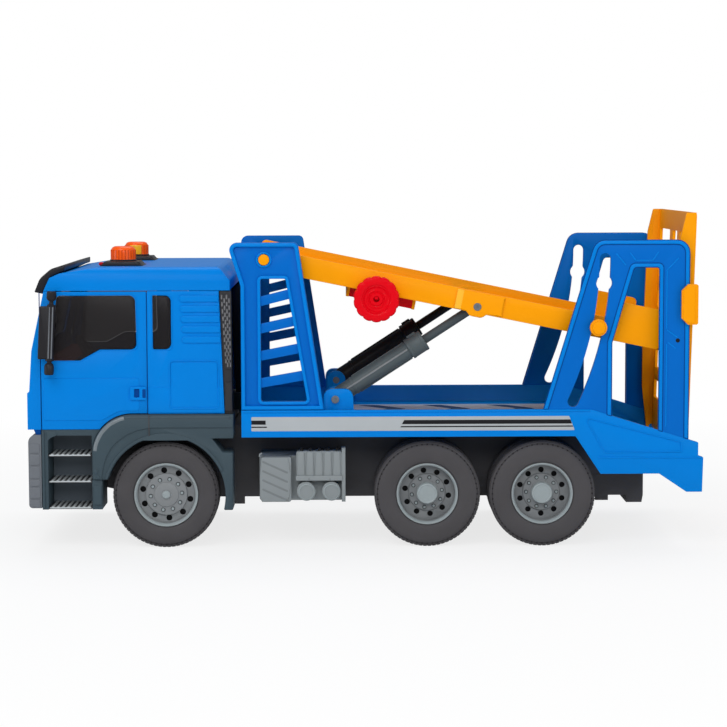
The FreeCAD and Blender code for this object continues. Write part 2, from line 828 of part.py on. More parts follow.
def make_steering_wheel():
    ring = doc.addObject("Part::Torus", "steering_ring")
    bind(ring, "Radius1", "wheel_ring")
    bind(ring, "Radius2", "wheel_rim")
    spokes = []
    for index, turn in enumerate((0, 60, 120)):
        spoke = doc.addObject("Part::Box", "spoke_%d" % index)
        bind(spoke, "Length", "wheel_ring * 2")
        bind(spoke, "Width", "wheel_rim * 2")
        bind(spoke, "Height", "wheel_rim")
        holder = FreeCAD.Rotation(FreeCAD.Vector(0, 0, 1), turn)
        centre = FreeCAD.Vector(value("wheel_ring"), value("wheel_rim"), value("wheel_rim / 2"))
        spoke.Placement = FreeCAD.Placement(holder.multVec(centre) * -1, holder)
        spokes.append(spoke)
    column = cutter("steering_column", "wheel_rim * 1.6", "wheel_ring * 0.9")
    column.Placement = FreeCAD.Placement(FreeCAD.Vector(0, 0, value("-wheel_ring * 0.9")), FreeCAD.Rotation())
    whole = doc.addObject("Part::MultiFuse", "steering_wheel")
    whole.Label = "steering_wheel"
    whole.Shapes = [ring, column] + spokes
    tilt(whole, "90 - steering_tilt * 1.2")
    place(whole, "waist_front_x + cab_wall * 2 + chin_step + dash_depth + wheel_ring * 0.9",
          "-seat_spread", "dash_top_z + wheel_rim")
    return whole


def make_doors(name, side):
    body = new_body("door_" + name)
    low, high = span("skin", "cab_half", side)
    points = [("door_hinge_x", "cab_sill_z"), ("door_hinge_x", "waist_z"),
              ("pillar_top_x + seam", "roof_seam_z - seam", "cab_wall"), ("door_rear_x - seam", "roof_seam_z - seam"),
              ("door_rear_x - seam", "cab_sill_z")]
    pad(body, "panel", "XZ_Plane", points, low, high)
    middle = "(skin + cab_wall / 2)" if side > 0 else "-(skin + cab_wall / 2)"
    pad(body, "hinge_edge", "XY_Plane", ("circle", ("door_hinge_x", middle), "cab_wall / 2"), "cab_sill_z", "waist_z")
    low, high = span("skin - overrun", "cab_half + overrun", side)
    guard = [("guard_front_x - seam * 2", "guard_top_z + seam * 2", "guard_corner + seam * 2"),
             ("door_rear_x + overrun", "guard_top_z + seam * 2"),
             ("door_rear_x + overrun", "cab_sill_z - guard_corner"),
             ("guard_front_x - seam * 2", "cab_sill_z - guard_corner")]
    pocket(body, "guard_clearance", "XZ_Plane", guard, low, high)
    window = [("door_window_front_x", "door_window_low_z"),
              ("door_window_brow_x", "door_window_top_z", "cab_wall"),
              ("door_window_rear_top_x", "door_window_top_z", "window_corner"),
              ("door_window_rear_x", "door_window_sill_z", "window_corner"),
              ("door_window_flat_x", "door_window_sill_z"),
              ("door_window_kink_x", "door_window_low_z")]
    pocket(body, "window", "XZ_Plane", window, low, high)
    glass = new_body("door_glass_" + name)
    low, high = span("cab_half - seam - glass_thickness", "cab_half - seam", side)
    pane = [("door_window_front_x + seam", "door_window_low_z + seam"),
            ("door_window_brow_x + seam", "door_window_top_z - seam", "cab_wall"),
            ("door_window_rear_top_x - seam", "door_window_top_z - seam", "window_corner"),
            ("door_window_rear_x - seam * 2", "door_window_sill_z + seam", "window_corner"),
            ("door_window_flat_x", "door_window_sill_z + seam"),
            ("door_window_kink_x", "door_window_low_z + seam")]
    pad(glass, "pane", "XZ_Plane", pane, low, high)
    mirror = new_body("mirror_" + name)
    low, high = span("mirror_inner", "mirror_outer", side)
    head = [("mirror_front_x", "mirror_low_z", "cab_wall"),
            ("mirror_front_x + mirror_width", "mirror_low_z", "cab_wall"),
            ("mirror_front_x + mirror_width + mirror_lean", "mirror_top_z", "cab_wall"),
            ("mirror_front_x + mirror_lean", "mirror_top_z", "cab_wall")]
    pad(mirror, "head", "XZ_Plane", head, low, high)
    arm_x = "mirror_front_x + mirror_width - mirror_arm"
    low, high = span("cab_half", "mirror_outer - cab_wall", side)
    pad(mirror, "lower_arm", "XZ_Plane",
        box_outline(arm_x, "mirror_front_x + mirror_width", "mirror_low_z - mirror_arm_rise",
                    "mirror_low_z + cab_wall", "seam * 4"), low, high)
    shift = " + mirror_lean"
    low, high = span("mirror_inner", "mirror_outer - cab_wall", side)
    pad(mirror, "upper_stem", "XZ_Plane",
        box_outline(arm_x + shift, "mirror_front_x + mirror_width + mirror_lean",
                    "mirror_top_z - cab_wall", "mirror_top_z + mirror_arm_rise", "seam * 4"), low, high)
    return [body, glass, mirror]


# Front mudguards, steps, bumper and front lamps

def make_guard(name, side):
    body = new_body("mudguard_" + name)
    low, high = span("guard_inner", "guard_half", side)
    notch_x = "guard_notch_x + guard_notch_run"
    notch_z = "guard_top_z - guard_band - guard_notch_drop"
    points = [("guard_front_x", "guard_front_low_z"), ("guard_front_x", "guard_top_z", "guard_corner"),
              ("guard_rear_x", "guard_top_z"), ("guard_rear_x", "guard_top_z - guard_band"),
              ("guard_notch_x", "guard_top_z - guard_band"), (notch_x, notch_z),
              ("guard_rear_x - seam * 2", notch_z), ("guard_rear_x - seam * 2", "guard_flap_z"),
              ("front_axle_x", "guard_flap_z"), ("front_axle_x", "guard_front_low_z")]
    pad(body, "guard", "XZ_Plane", points, low, high)
    low, high = span("guard_inner - overrun", "guard_half + overrun", side)
    pocket(body, "arch", "XZ_Plane", ("circle", ("front_axle_x", "wheel_radius"), "guard_arch"), low, high)
    return body


def make_step(name, side):
    body = new_body("step_" + name)
    low, high = span("step_inner", "step_face", side)
    top = "cab_sill_z - seam"
    edge = "guard_front_x - seam"
    pad(body, "housing", "XZ_Plane", box_outline("door_front_x + seam", "step_tail_x", "step_low_z", top), low, high)
    beyond = "step_tail_x + guard_corner + overrun"
    guard = [(edge, "guard_top_z + seam", "guard_corner + seam"), (beyond, "guard_top_z + seam"),
             (beyond, "guard_front_low_z - seam"), (edge, "guard_front_low_z - seam")]
    low, high = span("step_inner - overrun", "step_face + overrun", side)
    pocket(body, "guard_clearance", "XZ_Plane", guard, low, high)
    low, high = span("step_face - step_recess", "step_face + overrun", side)
    recess = box_outline("door_front_x + seam + step_post", edge, "step_low_z - overrun",
                         "cab_sill_z - step_post")
    pocket(body, "recess", "XZ_Plane", recess, low, high)
    return body


def make_treads():
    body = new_body("step_treads")
    for name, side in SIDES:
        low, high = span("step_face - step_recess + seam", "step_face", side)
        for index in range(3):
            base = "tread_first_z + step_pitch * %d" % index
            pad(body, "%s_tread_%d" % (name, index), "XZ_Plane",
                box_outline("door_front_x + step_post + seam * 2", "guard_front_x - seam * 2", base,
                            base + " + tread_height"), low, high)
    return body


def make_bumper():
    body = new_body("bumper")
    points = [("nose_x + seam", "bumper_low_z", "cab_wall"), ("door_front_x", "bumper_low_z"),
              ("door_front_x", "bumper_top_z"), ("nose_x + seam", "bumper_top_z", "bumper_round")]
    pad(body, "bar", "XZ_Plane", points, "-bumper_half", "bumper_half")
    for name, side in SIDES:
        low, high = ("lamp_inner", "lamp_outer") if side > 0 else ("-lamp_outer", "-lamp_inner")
        pocket(body, name + "_lamp_recess", "YZ_Plane",
               box_outline(low, high, "lamp_low_z", "lamp_top_z", "seam * 5"),
               "nose_x - overrun", "nose_x + lamp_depth")
    return body


def make_headlamps():
    body = new_body("headlamps")
    for name, side in SIDES:
        low, high = ("lamp_inner + seam", "lamp_outer - seam") if side > 0 else (
            "-(lamp_outer - seam)", "-(lamp_inner + seam)")
        pad(body, name + "_lamp", "YZ_Plane",
            box_outline(low, high, "lamp_low_z + seam", "lamp_top_z - seam", "seam * 5"),
            "nose_x + seam * 2", "nose_x + lamp_depth")
    return body


def make_grille():
    body = new_body("grille")
    pad(body, "frame", "YZ_Plane",
        box_outline("-(grille_half - seam)", "grille_half - seam", "grille_low_z + seam", "chin_z - chin_step",
                    "window_corner"),
        "nose_x + seam", "nose_x + chin_step + grille_depth / 2")
    return body


def make_visor():
    body = new_body("sun_visor")
    gap = " + seam"
    points = [("visor_tip_x", "visor_tip_z"), ("visor_rise_x", "visor_rise_z", "cab_corner"),
              ("visor_top_x - cab_corner", "visor_top_z - cab_wall", "cab_corner"), ("visor_top_x", "visor_top_z"),
              ("visor_top_x", "roof_brow_z + cab_wall / 2" + gap),
              ("roof_front_x - seam", "roof_brow_z + seam * 2"),
              ("roof_front_x - cab_corner * 0.7 - seam", "roof_brow_z - cab_corner * 0.3" + gap),
              ("brow_x - seam", "roof_seam_z + seam"), ("brow_x - seam * 3", "visor_tip_z - cab_wall / 2")]
    pad(body, "blade", "XZ_Plane", points, "-visor_half", "visor_half")
    return body


def make_beacons():
    base = new_body("beacon_bases")
    lens = new_body("beacons")
    top = "roof_top_z + beacon_base_height"
    for name, side in SIDES:
        centre = "beacon_spread" if side > 0 else "-beacon_spread"
        low, high = centre + " - beacon_base_half", centre + " + beacon_base_half"
        points = [("beacon_x - beacon_base_half", "roof_top_z"), ("beacon_x + beacon_base_half", "roof_top_z"),
                  ("beacon_x + beacon_radius + seam", top), ("beacon_x - beacon_radius - seam", top)]
        pad(base, name + "_base", "XZ_Plane", points, low, high)
        pad(lens, name + "_lens", "XY_Plane", ("circle", ("beacon_x", centre), "beacon_radius"),
            top, top + " + beacon_height")
    return [base, lens]


def make_intakes():
    body = new_body("air_intakes")
    for name, side in SIDES:
        low, high = span("intake_inner", "intake_half", side)
        points = [("cab_rear_x + seam", "guard_top_z"), ("cab_rear_x + seam + intake_depth", "guard_top_z"),
                  ("cab_rear_x - cab_slant + seam + intake_depth * 1.4", "roof_seam_z"),
                  ("cab_rear_x - cab_slant + seam", "roof_seam_z")]
        pad(body, name + "_intake", "XZ_Plane", points, low, high)
    return body


# Lower deck: rails, floor, sloping tail, cheeks, lift lugs and hinge pins

def make_lower_deck():
    body = new_body("lower_deck")
    points = [("deck_front_x", "rail_low_z"), ("deck_front_x", "rail_top_z"), ("rail_end_x", "rail_top_z"),
              ("tail_x - cheek_step", "cheek_top_z"), ("tail_x - cheek_step", "cheek_step_z"),
              ("tail_x", "cheek_step_z - cab_wall / 2"), ("tail_x - seam * 2", "cheek_low_z"),
              ("cheek_toe_x", "cheek_low_z"), ("cheek_heel_x", "cheek_heel_z"),
              ("cheek_front_x", "cheek_heel_z"), ("skirt_front_x", "rail_low_z")]
    pad(body, "hull", "XZ_Plane", points, "-deck_half", "deck_half")
    inner = "deck_half - rail_wall"
    fall = " - tail_fall * (tail_x + overrun - deck_bend_x)"
    above = [("deck_front_x - overrun", "deck_floor_z"), ("deck_bend_x", "deck_floor_z"),
             ("tail_x + overrun", "deck_floor_z" + fall), ("tail_x + overrun", "rail_top_z + overrun"),
             ("deck_front_x - overrun", "rail_top_z + overrun")]
    pocket(body, "bed", "XZ_Plane", above, "-(%s)" % inner, inner)
    low = "cheek_low_z - overrun"
    rear = "tail_floor_x - beam_wall"
    below = [("deck_front_x - overrun", low), ("deck_front_x - overrun", "floor_under_z"),
             ("deck_bend_x - deck_plate / 2", "floor_under_z"),
             (rear, "floor_under_z - tail_fall * (%s - deck_bend_x)" % rear), (rear, low)]
    pocket(body, "underside", "XZ_Plane", below, "-(%s)" % inner, inner)
    pocket(body, "ramp_bay", "XZ_Plane",
           box_outline("tail_floor_x", "tail_x + overrun", low, "rail_top_z"), "-(%s)" % inner, inner)
    for name, side in SIDES:
        low, high = span("lift_outer + seam * 2", "lift_outer + seam * 2 + lug_width", side)
        lug = [("lift_foot_x - lug_half * 0.75", "deck_floor_z"), ("lift_foot_x + lug_half * 1.25", "deck_floor_z"),
               ("lift_foot_x + lug_half * 1.1", "lift_foot_z + lug_rise", "lug_rise * 0.8"),
               ("lift_foot_x - lug_half * 0.75", "lift_foot_z + lug_rise", "lug_rise * 0.8")]
        pad(body, name + "_lug", "XZ_Plane", lug, low, high)
        low, high = span("lift_inner - seam * 3", "lift_outer + seam * 4 + lug_width", side)
        pad(body, name + "_lift_pin", "XZ_Plane", ("circle", ("lift_foot_x", "lift_foot_z"), "lift_pin"), low, high)
        low, high = span("ramp_half - ramp_rail - seam", inner, side)
        pad(body, name + "_ramp_pin", "XZ_Plane",
            ("circle", ("ramp_axis_x", "ramp_axis_z"), "ramp_pin_radius"), low, high)
    return body


def make_tail_lamps():
    body = new_body("tail_lamps")
    for name, side in SIDES:
        low, high = span("ramp_half - ramp_rail - lamp_width", "ramp_half - ramp_rail", side)
        pad(body, name + "_lamp", "YZ_Plane",
            box_outline(low, high, "beam_low_z + cab_wall * 2", "beam_low_z + cab_wall * 2 + lamp_height", "seam * 4"),
            "tail_floor_x", "tail_floor_x + lamp_stand")
    return body


# Gantry behind the cab

def make_gantry_side(name, side):
    body = new_body("gantry_" + name)
    low, high = span("gantry_inner", "gantry_outer", side)
    points = [("deck_front_x", "rail_top_z"), ("deck_front_x", "gantry_kink_z"),
              ("gantry_nose_x", "gantry_top_z", "gantry_round * 1.4"),
              ("gantry_top_rear_x", "gantry_top_z", "gantry_round"), ("gantry_foot_x", "rail_top_z")]
    pad(body, "frame", "XZ_Plane", points, low, high)
    wide_low, wide_high = span("gantry_inner - overrun", "gantry_outer + overrun", side)
    window = [("gantry_window_front_x", "gantry_window_low_z", "seam * 5"),
              ("gantry_window_front_x", "gantry_window_top_z", "seam * 5"),
              ("gantry_window_front_x + gantry_window_top_run", "gantry_window_top_z", "seam * 5"),
              ("gantry_window_front_x + gantry_window_low_run", "gantry_window_low_z", "seam * 5")]
    pocket(body, "window", "XZ_Plane", window, wide_low, wide_high)
    height = "(gantry_window_top_z - gantry_window_low_z)"
    for index in range(4):
        base = "slat_first_z + slat_pitch * %d" % index
        run = ("(gantry_window_low_run - (gantry_window_low_run - gantry_window_top_run)"
               " * (%s + slat_rise - gantry_window_low_z) / %s)" % (base, height))
        rear = "gantry_window_front_x + %s + cab_wall / 2" % run
        front = "gantry_window_front_x - cab_wall / 2"
        slat = [(front, base), (rear, base + " + slat_rise"), (rear, base + " + slat_rise + slat_height"),
                (front, base + " + slat_height")]
        low, high = span("gantry_inner + cab_wall / 2", "gantry_outer - cab_wall / 5", side)
        pad(body, "slat_%d" % index, "XZ_Plane", slat, low, high)
    pocket(body, "pivot_bore", "XZ_Plane",
           ("circle", ("pivot_x", "pivot_z"), "pivot_radius + running_fit"), wide_low, wide_high)
    return body


def make_gantry_wall():
    body = new_body("gantry_front")
    half = "gantry_inner"
    pad(body, "wall", "YZ_Plane",
        box_outline("-(%s)" % half, half, "deck_floor_z", "gantry_wall_top_z"),
        "deck_front_x", "deck_front_x + gantry_wall")
    return body


# Rear hoops with the curved guide slot

def make_hoop(name, side):
    plate = new_body("hoop_plate_" + name)
    low, high = span("hoop_inner", "hoop_outer", side)
    points = [("hoop_foot_x", "rail_top_z"), ("hoop_front_top_x", "hoop_top_z", "hoop_round"),
              ("hoop_rear_x", "hoop_top_z", "hoop_round"), ("hoop_rear_x", "hoop_foot_z"),
              ("rail_end_x", "rail_top_z")]
    pad(plate, "plate", "XZ_Plane", points, low, high)
    wide_low, wide_high = span("hoop_inner - overrun", "hoop_outer + overrun", side)
    low_z = "hoop_foot_z - overrun"
    window = [("hoop_window_front_x", low_z), ("hoop_window_front_x", "hoop_window_kink_z"),
              ("hoop_window_top_x", "hoop_window_top_z", "window_corner"),
              ("hoop_window_rear_x", "hoop_window_top_z", "window_corner / 2"), ("hoop_window_rear_x", low_z)]
    pocket(plate, "window", "XZ_Plane", window, wide_low, wide_high)
    notch = ("circle", ("pivot_x + peg_reach * cos(notch_angle)", "pivot_z - peg_reach * sin(notch_angle)"),
             "notch_radius")
    pocket(plate, "notch", "XZ_Plane", notch, wide_low, wide_high)
    for index, angle in enumerate(("0", "slot_sweep")):
        centre = ("pivot_x + peg_reach * cos(%s)" % angle, "pivot_z - peg_reach * sin(%s)" % angle)
        pocket(plate, "slot_end_%d" % index, "XZ_Plane", ("circle", centre, "slot_width / 2"),
               wide_low, wide_high)
    outer = cutter("slot_outer_" + name, "peg_reach + slot_width / 2", "hoop_outer - hoop_inner + 2 * overrun")
    inner = cutter("slot_inner_" + name, "peg_reach - slot_width / 2", "hoop_outer - hoop_inner + 4 * overrun")
    bind(outer, "Angle", "slot_sweep")
    for item, margin in ((outer, "overrun"), (inner, "2 * overrun")):
        item.Placement = FreeCAD.Placement(FreeCAD.Vector(0, 0, 0),
                                           FreeCAD.Rotation(FreeCAD.Vector(1, 0, 0), -90))
        low, high = span("hoop_inner - " + margin, "hoop_outer + " + margin, side)
        place(item, "pivot_x", low, "pivot_z")
    arc = doc.addObject("Part::Cut", "slot_" + name)
    arc.Base = outer
    arc.Tool = inner
    hoop = doc.addObject("Part::Cut", "hoop_" + name)
    hoop.Label = "hoop_" + name
    hoop.Base = plate
    hoop.Tool = arc
    return hoop


# Upper deck, in its own frame: the pivot at the origin and the tray along +X

def seat_on_pivot(item):
    tilt(item, "deck_slope")
    place(item, "pivot_x", "0", "pivot_z")


def make_upper_deck():
    body = new_body("upper_deck")
    tray = [("-deck_nose", "-upper_low", "gantry_round"), ("deck_reach", "-upper_low", "gantry_round"),
            ("deck_reach", "upper_high", "gantry_round"), ("-deck_nose", "upper_high", "gantry_round")]
    pad(body, "tray", "XZ_Plane", tray, "-upper_half", "upper_half")
    inner = "upper_half - upper_rail"
    pocket(body, "bed", "XZ_Plane",
           box_outline("-deck_nose - overrun", "deck_reach + overrun", "-upper_floor_top",
                       "upper_high + overrun"), "-(%s)" % inner, inner)
    pocket(body, "underside", "XZ_Plane",
           box_outline("-deck_nose - overrun", "deck_reach + overrun", "-upper_low - overrun",
                       "-upper_under"), "-(%s)" % inner, inner)
    for name, side in SIDES:
        low, high = span("lift_outer + seam * 2", "upper_half + seam * 2", side)
        pad(body, name + "_boss", "XZ_Plane", ("circle", ("boss_reach", "-boss_drop"), "boss_radius"), low, high)
        low, high = span("lift_inner - seam * 4", "lift_outer + seam * 2", side)
        pocket(body, name + "_lift_opening", "XY_Plane",
               box_outline("boss_reach - boss_radius * 2", "boss_reach + boss_radius * 1.5", low, high),
               "-upper_low", "upper_high")
    for name, side in SIDES:
        low, high = span(inner, "upper_half", side)
        pad(body, name + "_fin", "XZ_Plane",
            box_outline("fin_reach", "deck_reach", "0", "fin_high", "gantry_round"), low, high)
    for index, start in enumerate(("winch_front", "winch_front + winch_length - winch_bracket")):
        pad(body, "winch_bracket_%d" % index, "XZ_Plane",
            box_outline(start, start + " + winch_bracket", "-winch_low", "-upper_under"),
            "-winch_half", "winch_half")
    seat_on_pivot(body)
    return body


def make_deck_pegs():
    body = new_body("deck_pegs")
    for name, side in SIDES:
        low, high = span("upper_half", "gantry_outer + seam * 3", side)
        pad(body, name + "_pivot", "XZ_Plane", ("circle", ("0", "0"), "pivot_radius"), low, high)
        low, high = span("gantry_outer + seam", "gantry_outer + seam * 4", side)
        pad(body, name + "_cap", "XZ_Plane", ("circle", ("0", "0"), "pivot_cap"), low, high)
        low, high = span("upper_half", "hoop_outer + seam * 4", side)
        pad(body, name + "_peg", "XZ_Plane", ("circle", ("peg_reach", "0"), "peg_radius"), low, high)
        low, high = span("hoop_outer + seam * 3", "hoop_outer + seam * 3 + peg_ball * 0.6", side)
        pad(body, name + "_head", "XZ_Plane", ("circle", ("peg_reach", "0"), "peg_ball"), low, high)
        low, high = span("hoop_outer + seam * 3", "hoop_outer + seam * 3 + peg_ball * 0.9", side)
        pad(body, name + "_tip", "XZ_Plane", ("circle", ("peg_reach", "0"), "peg_ball * 0.75"), low, high)
    seat_on_pivot(body)
    return body


def make_winch_box():
    body = new_body("winch_box")
    pad(body, "box", "XZ_Plane",
        box_outline("winch_front + winch_bracket", "winch_front + winch_length - winch_bracket",
                    "-(winch_low - seam)", "-upper_under"), "-(winch_half - seam)", "winch_half - seam")
    pocket(body, "bore", "XZ_Plane", ("circle", ("winch_reach", "-winch_drop"), "winch_shaft + running_fit"),
           "-winch_half - overrun", "-winch_half / 2")
    seat_on_pivot(body)
    return body


def make_winch_knob():
    body = new_body("winch_knob")
    inner = "upper_half + seam * 3"
    outer = inner + " + knob_width"
    pad(body, "shaft", "XZ_Plane", ("circle", ("0", "0"), "winch_shaft"),
        "-(%s + knob_width / 2)" % inner, "-(winch_half / 2 + seam)")
    pad(body, "grip", "XZ_Plane", ("circle", ("0", "0"), "knob_radius"), "-(%s)" % outer, "-(%s)" % inner)
    scallop = pocket(body, "scallop", "XZ_Plane",
                     ("circle", ("0", "knob_radius + knob_scallop - knob_bite"), "knob_scallop"),
                     "-(%s) - overrun" % outer, "-(%s) + overrun" % inner)
    polar(body, "scallops", scallop, "knob_lobes")
    pocket(body, "recess", "XZ_Plane", ("circle", ("0", "0"), "knob_ring"),
           "-(%s) - overrun" % outer, "-(%s) + knob_recess" % outer)
    pad(body, "hub", "XZ_Plane", ("circle", ("0", "0"), "knob_hub"),
        "-(%s) + knob_recess / 4" % outer, "-(%s) + knob_recess * 2" % outer)
    pocket(body, "hub_hole", "XZ_Plane", ("circle", ("0", "0"), "knob_hole"),
           "-(%s) - overrun" % outer, "-(%s) + knob_width / 2" % outer)
    tilt(body, "deck_slope")
    place(body, "pivot_x + winch_reach * cos(deck_slope) - winch_drop * sin(deck_slope)", "0",
          "pivot_z - winch_reach * sin(deck_slope) - winch_drop * cos(deck_slope)")
    return body


# Lift cylinders, in their own frame: the foot pin at the origin and the rod along +X

def seat_on_lug(item):
    tilt(item, "-atan2(lift_reach_z; lift_reach_x)")
    place(item, "lift_foot_x", "0", "lift_foot_z")


def make_lift(name, side):
    barrel = new_body("lift_barrel_" + name)
    low, high = span("lift_inner", "lift_outer", side)
    middle = "(lift_inner + lift_width / 2)" if side > 0 else "-(lift_inner + lift_width / 2)"
    pad(barrel, "eye", "XZ_Plane", ("circle", ("0", "0"), "lift_eye"), low, high)
    pad(barrel, "tube", "YZ_Plane", ("circle", (middle, "0"), "barrel_radius"),
        "lift_eye * 0.6", "barrel_length")
    pad(barrel, "collar", "YZ_Plane", ("circle", (middle, "0"), "collar_radius"),
        "barrel_length - collar_length", "barrel_length")
    wide_low, wide_high = span("lift_inner - overrun", "lift_outer + overrun", side)
    pocket(barrel, "pin_bore", "XZ_Plane", ("circle", ("0", "0"), "lift_pin + running_fit"), wide_low, wide_high)
    pocket(barrel, "rod_bore", "YZ_Plane", ("circle", (middle, "0"), "rod_radius + running_fit"),
           "barrel_start", "barrel_length + overrun")
    seat_on_lug(barrel)
    rod = new_body("lift_rod_" + name)
    pad(rod, "rod", "YZ_Plane", ("circle", (middle, "0"), "rod_radius"), "lift_rest - rod_tail", "lift_rest")
    pad(rod, "eye", "XZ_Plane", ("circle", ("lift_rest", "0"), "rod_eye"), low, high)
    seat_on_lug(rod)
    return [barrel, rod]


# Loading ramp, standing upright at the tail

def ramp_face(height):
    return "ramp_low_x + ramp_lean * (%s - ramp_low_z)" % height


def make_ramp():
    body = new_body("loading_ramp")
    low_z = "ramp_axis_z - ramp_knuckle"
    sheet_low = "ramp_axis_z + seam"
    plate = [(ramp_face(sheet_low), sheet_low), ("ramp_top_x", "ramp_top_z"),
             ("ramp_top_x - ramp_sheet", "ramp_top_z"), (ramp_face(sheet_low) + " - ramp_sheet", sheet_low)]
    inner = "ramp_half - ramp_rail / 2"
    pad(body, "sheet", "XZ_Plane", plate, "-(%s)" % inner, inner)
    for name, side in SIDES:
        low, high = span("ramp_half - ramp_rail", "ramp_half", side)
        waist_z = "ramp_low_z + ramp_depth * 2"
        chest_z = waist_z + " + ramp_depth * 3"
        rail = [("ramp_axis_x + ramp_knuckle * 0.6", low_z), (ramp_face("ramp_low_z"), "ramp_low_z"),
                ("ramp_top_x", "ramp_top_z", "seam * 6"),
                ("ramp_top_x - ramp_depth * 0.7", "ramp_top_z", "seam * 4"),
                ("ramp_top_x - ramp_depth * 1.1", "ramp_top_z - ramp_depth * 1.7"),
                (ramp_face(chest_z) + " - ramp_depth * 1.12", chest_z),
                (ramp_face(waist_z) + " - ramp_depth * 1.04", waist_z),
                ("ramp_axis_x - ramp_knuckle * 0.9", low_z + " + ramp_knuckle / 2"),
                ("ramp_axis_x - ramp_knuckle * 0.4", low_z)]
        pad(body, name + "_rail", "XZ_Plane", rail, low, high)
        web_low, web_high = span("ramp_half - ramp_rail / 2", "hoop_outer + latch_gap + latch_plate", side)
        web = [("hoop_rear_x + latch_gap", "latch_low_z + latch_chamfer"),
               (ramp_face("latch_low_z + latch_chamfer"), "latch_low_z + latch_chamfer"),
               (ramp_face("latch_top_z - latch_chamfer"), "latch_top_z - latch_chamfer"),
               ("hoop_rear_x + latch_gap", "latch_top_z - latch_chamfer")]
        pad(body, name + "_latch_web", "XZ_Plane", web, web_low, web_high)
        low, high = span("hoop_outer + latch_gap", "hoop_outer + latch_gap + latch_plate", side)
        clip = [("latch_front_x", "latch_low_z + latch_chamfer"), ("latch_front_x + latch_chamfer", "latch_low_z"),
                ("latch_rear_x", "latch_low_z", "seam * 5"), ("latch_rear_x", "latch_top_z", "seam * 5"),
                ("latch_front_x + latch_chamfer", "latch_top_z"), ("latch_front_x", "latch_top_z - latch_chamfer")]
        pad(body, name + "_latch", "XZ_Plane", clip, low, high)
        wide_low, wide_high = span("ramp_half - ramp_rail - overrun", "ramp_half + overrun", side)
        pocket(body, name + "_pin_bore", "XZ_Plane",
               ("circle", ("ramp_axis_x", "ramp_axis_z"), "ramp_pin_radius + running_fit"), wide_low, wide_high)
    for index in range(6):
        base = "ramp_window_first_z + ramp_window_pitch * %d" % index
        for name, low, high in (("left", "-ramp_window_outer", "-ramp_window_inner"),
                                ("centre", "-ramp_centre_window", "ramp_centre_window"),
                                ("right", "ramp_window_inner", "ramp_window_outer")):
            pocket(body, "%s_window_%d" % (name, index), "YZ_Plane",
                   box_outline(low, high, base, base + " + ramp_window_height", "seam * 5"),
                   "ramp_low_x - ramp_window_reach", "ramp_low_x + ramp_window_reach")
    return body


# Side equipment between the axles

def make_equipment(name, side):
    body = new_body("equipment_" + name)
    low, high = span("kit_inner", "kit_box_face", side)
    pad(body, "plate", "XZ_Plane",
        box_outline("kit_front_x", "kit_rear_x", "kit_low_z", "battery_top_z", "seam * 5"), low, high)
    low, high = span("kit_inner - overrun", "kit_box_face - cab_wall", side)
    pocket(body, "hollow", "XZ_Plane",
           box_outline("kit_front_x + cab_wall", "kit_rear_x - cab_wall", "kit_low_z + cab_wall",
                       "battery_top_z - cab_wall"), low, high)
    low, high = span("kit_box_face - seam", "kit_half", side)
    battery = box_outline("kit_front_x + cab_wall / 2", "kit_front_x + cab_wall / 2 + battery_length",
                          "kit_low_z", "battery_top_z", "seam * 5")
    pad(body, "battery_box", "XZ_Plane", battery, low, high)
    chest = box_outline("kit_rear_x - cab_wall - chest_length", "kit_rear_x - cab_wall", "chest_low_z",
                        "chest_top_z", "seam * 5")
    pad(body, "chest", "XZ_Plane", chest, low, high)
    for index in range(2):
        centre = ("tank_first_x + tank_pitch * %d" % index, "tank_z")
        pad(body, "tank_%d" % index, "XZ_Plane", ("circle", centre, "tank_radius"), low, high)
    pad(body, "end_plate", "XZ_Plane",
        box_outline("kit_rear_x - cab_wall", "kit_rear_x", "kit_low_z", "kit_top_z"), low, high)
    return body


# Wheels, each in its own frame: the axle's centre at the origin

def make_axle(axle):
    body = new_body(axle + "_axle")
    pad(body, "rod", "XZ_Plane", ("circle", ("0", "0"), "axle_radius"),
        "-(rim_face - %s_dish)" % ("front" if axle == "front" else "rear"),
        "rim_face - %s_dish" % ("front" if axle == "front" else "rear"))
    place(body, axle + "_axle_x", "0", "wheel_radius")
    return body


def make_rims(axle):
    body = new_body(axle + "_rims")
    kind = "front" if axle == "front" else "rear"
    width = "front_tyre_width" if axle == "front" else "twin_tyre_width"
    rim = kind + "_rim_radius"
    dish = kind + "_dish"
    hub = kind + "_hub_radius"
    bore = "axle_radius + running_fit"
    disc = "rim_face - " + dish
    for name, side in SIDES:
        sign = "" if side > 0 else "-"
        profile = [("(%s - rim_wall)" % disc, bore), ("(%s - rim_wall)" % disc, rim + " - rim_wall"),
                   ("(tyre_outer - %s + rim_inset)" % width, rim + " - rim_wall"),
                   ("(tyre_outer - %s + rim_inset)" % width, rim), ("(rim_face)", rim),
                   ("(rim_face)", rim + " - rim_lip"), ("(%s)" % disc, rim + " - rim_lip * 2"),
                   ("(%s)" % disc, hub + " + seam * 2"), ("(rim_face - hub_cover / 2)", hub),
                   ("(rim_face - hub_cover / 2)", "0"), ("(%s + hub_cover / 4)" % disc, "0"),
                   ("(%s + hub_cover / 4)" % disc, bore)]
        revolve(body, name + "_rim", [(sign + across, up) for across, up in profile])
    for name, side in SIDES:
        low, high = span(disc + " - rim_wall * rim_hole_share", disc + " + overrun", side)
        hole = pocket(body, name + "_hole", "XZ_Plane", ("circle", ("0", kind + "_hole_circle"), "rim_hole"),
                      low, high)
        polar(body, name + "_holes", hole, "rim_holes")
    place(body, axle + "_axle_x", "0", "wheel_radius")
    return body


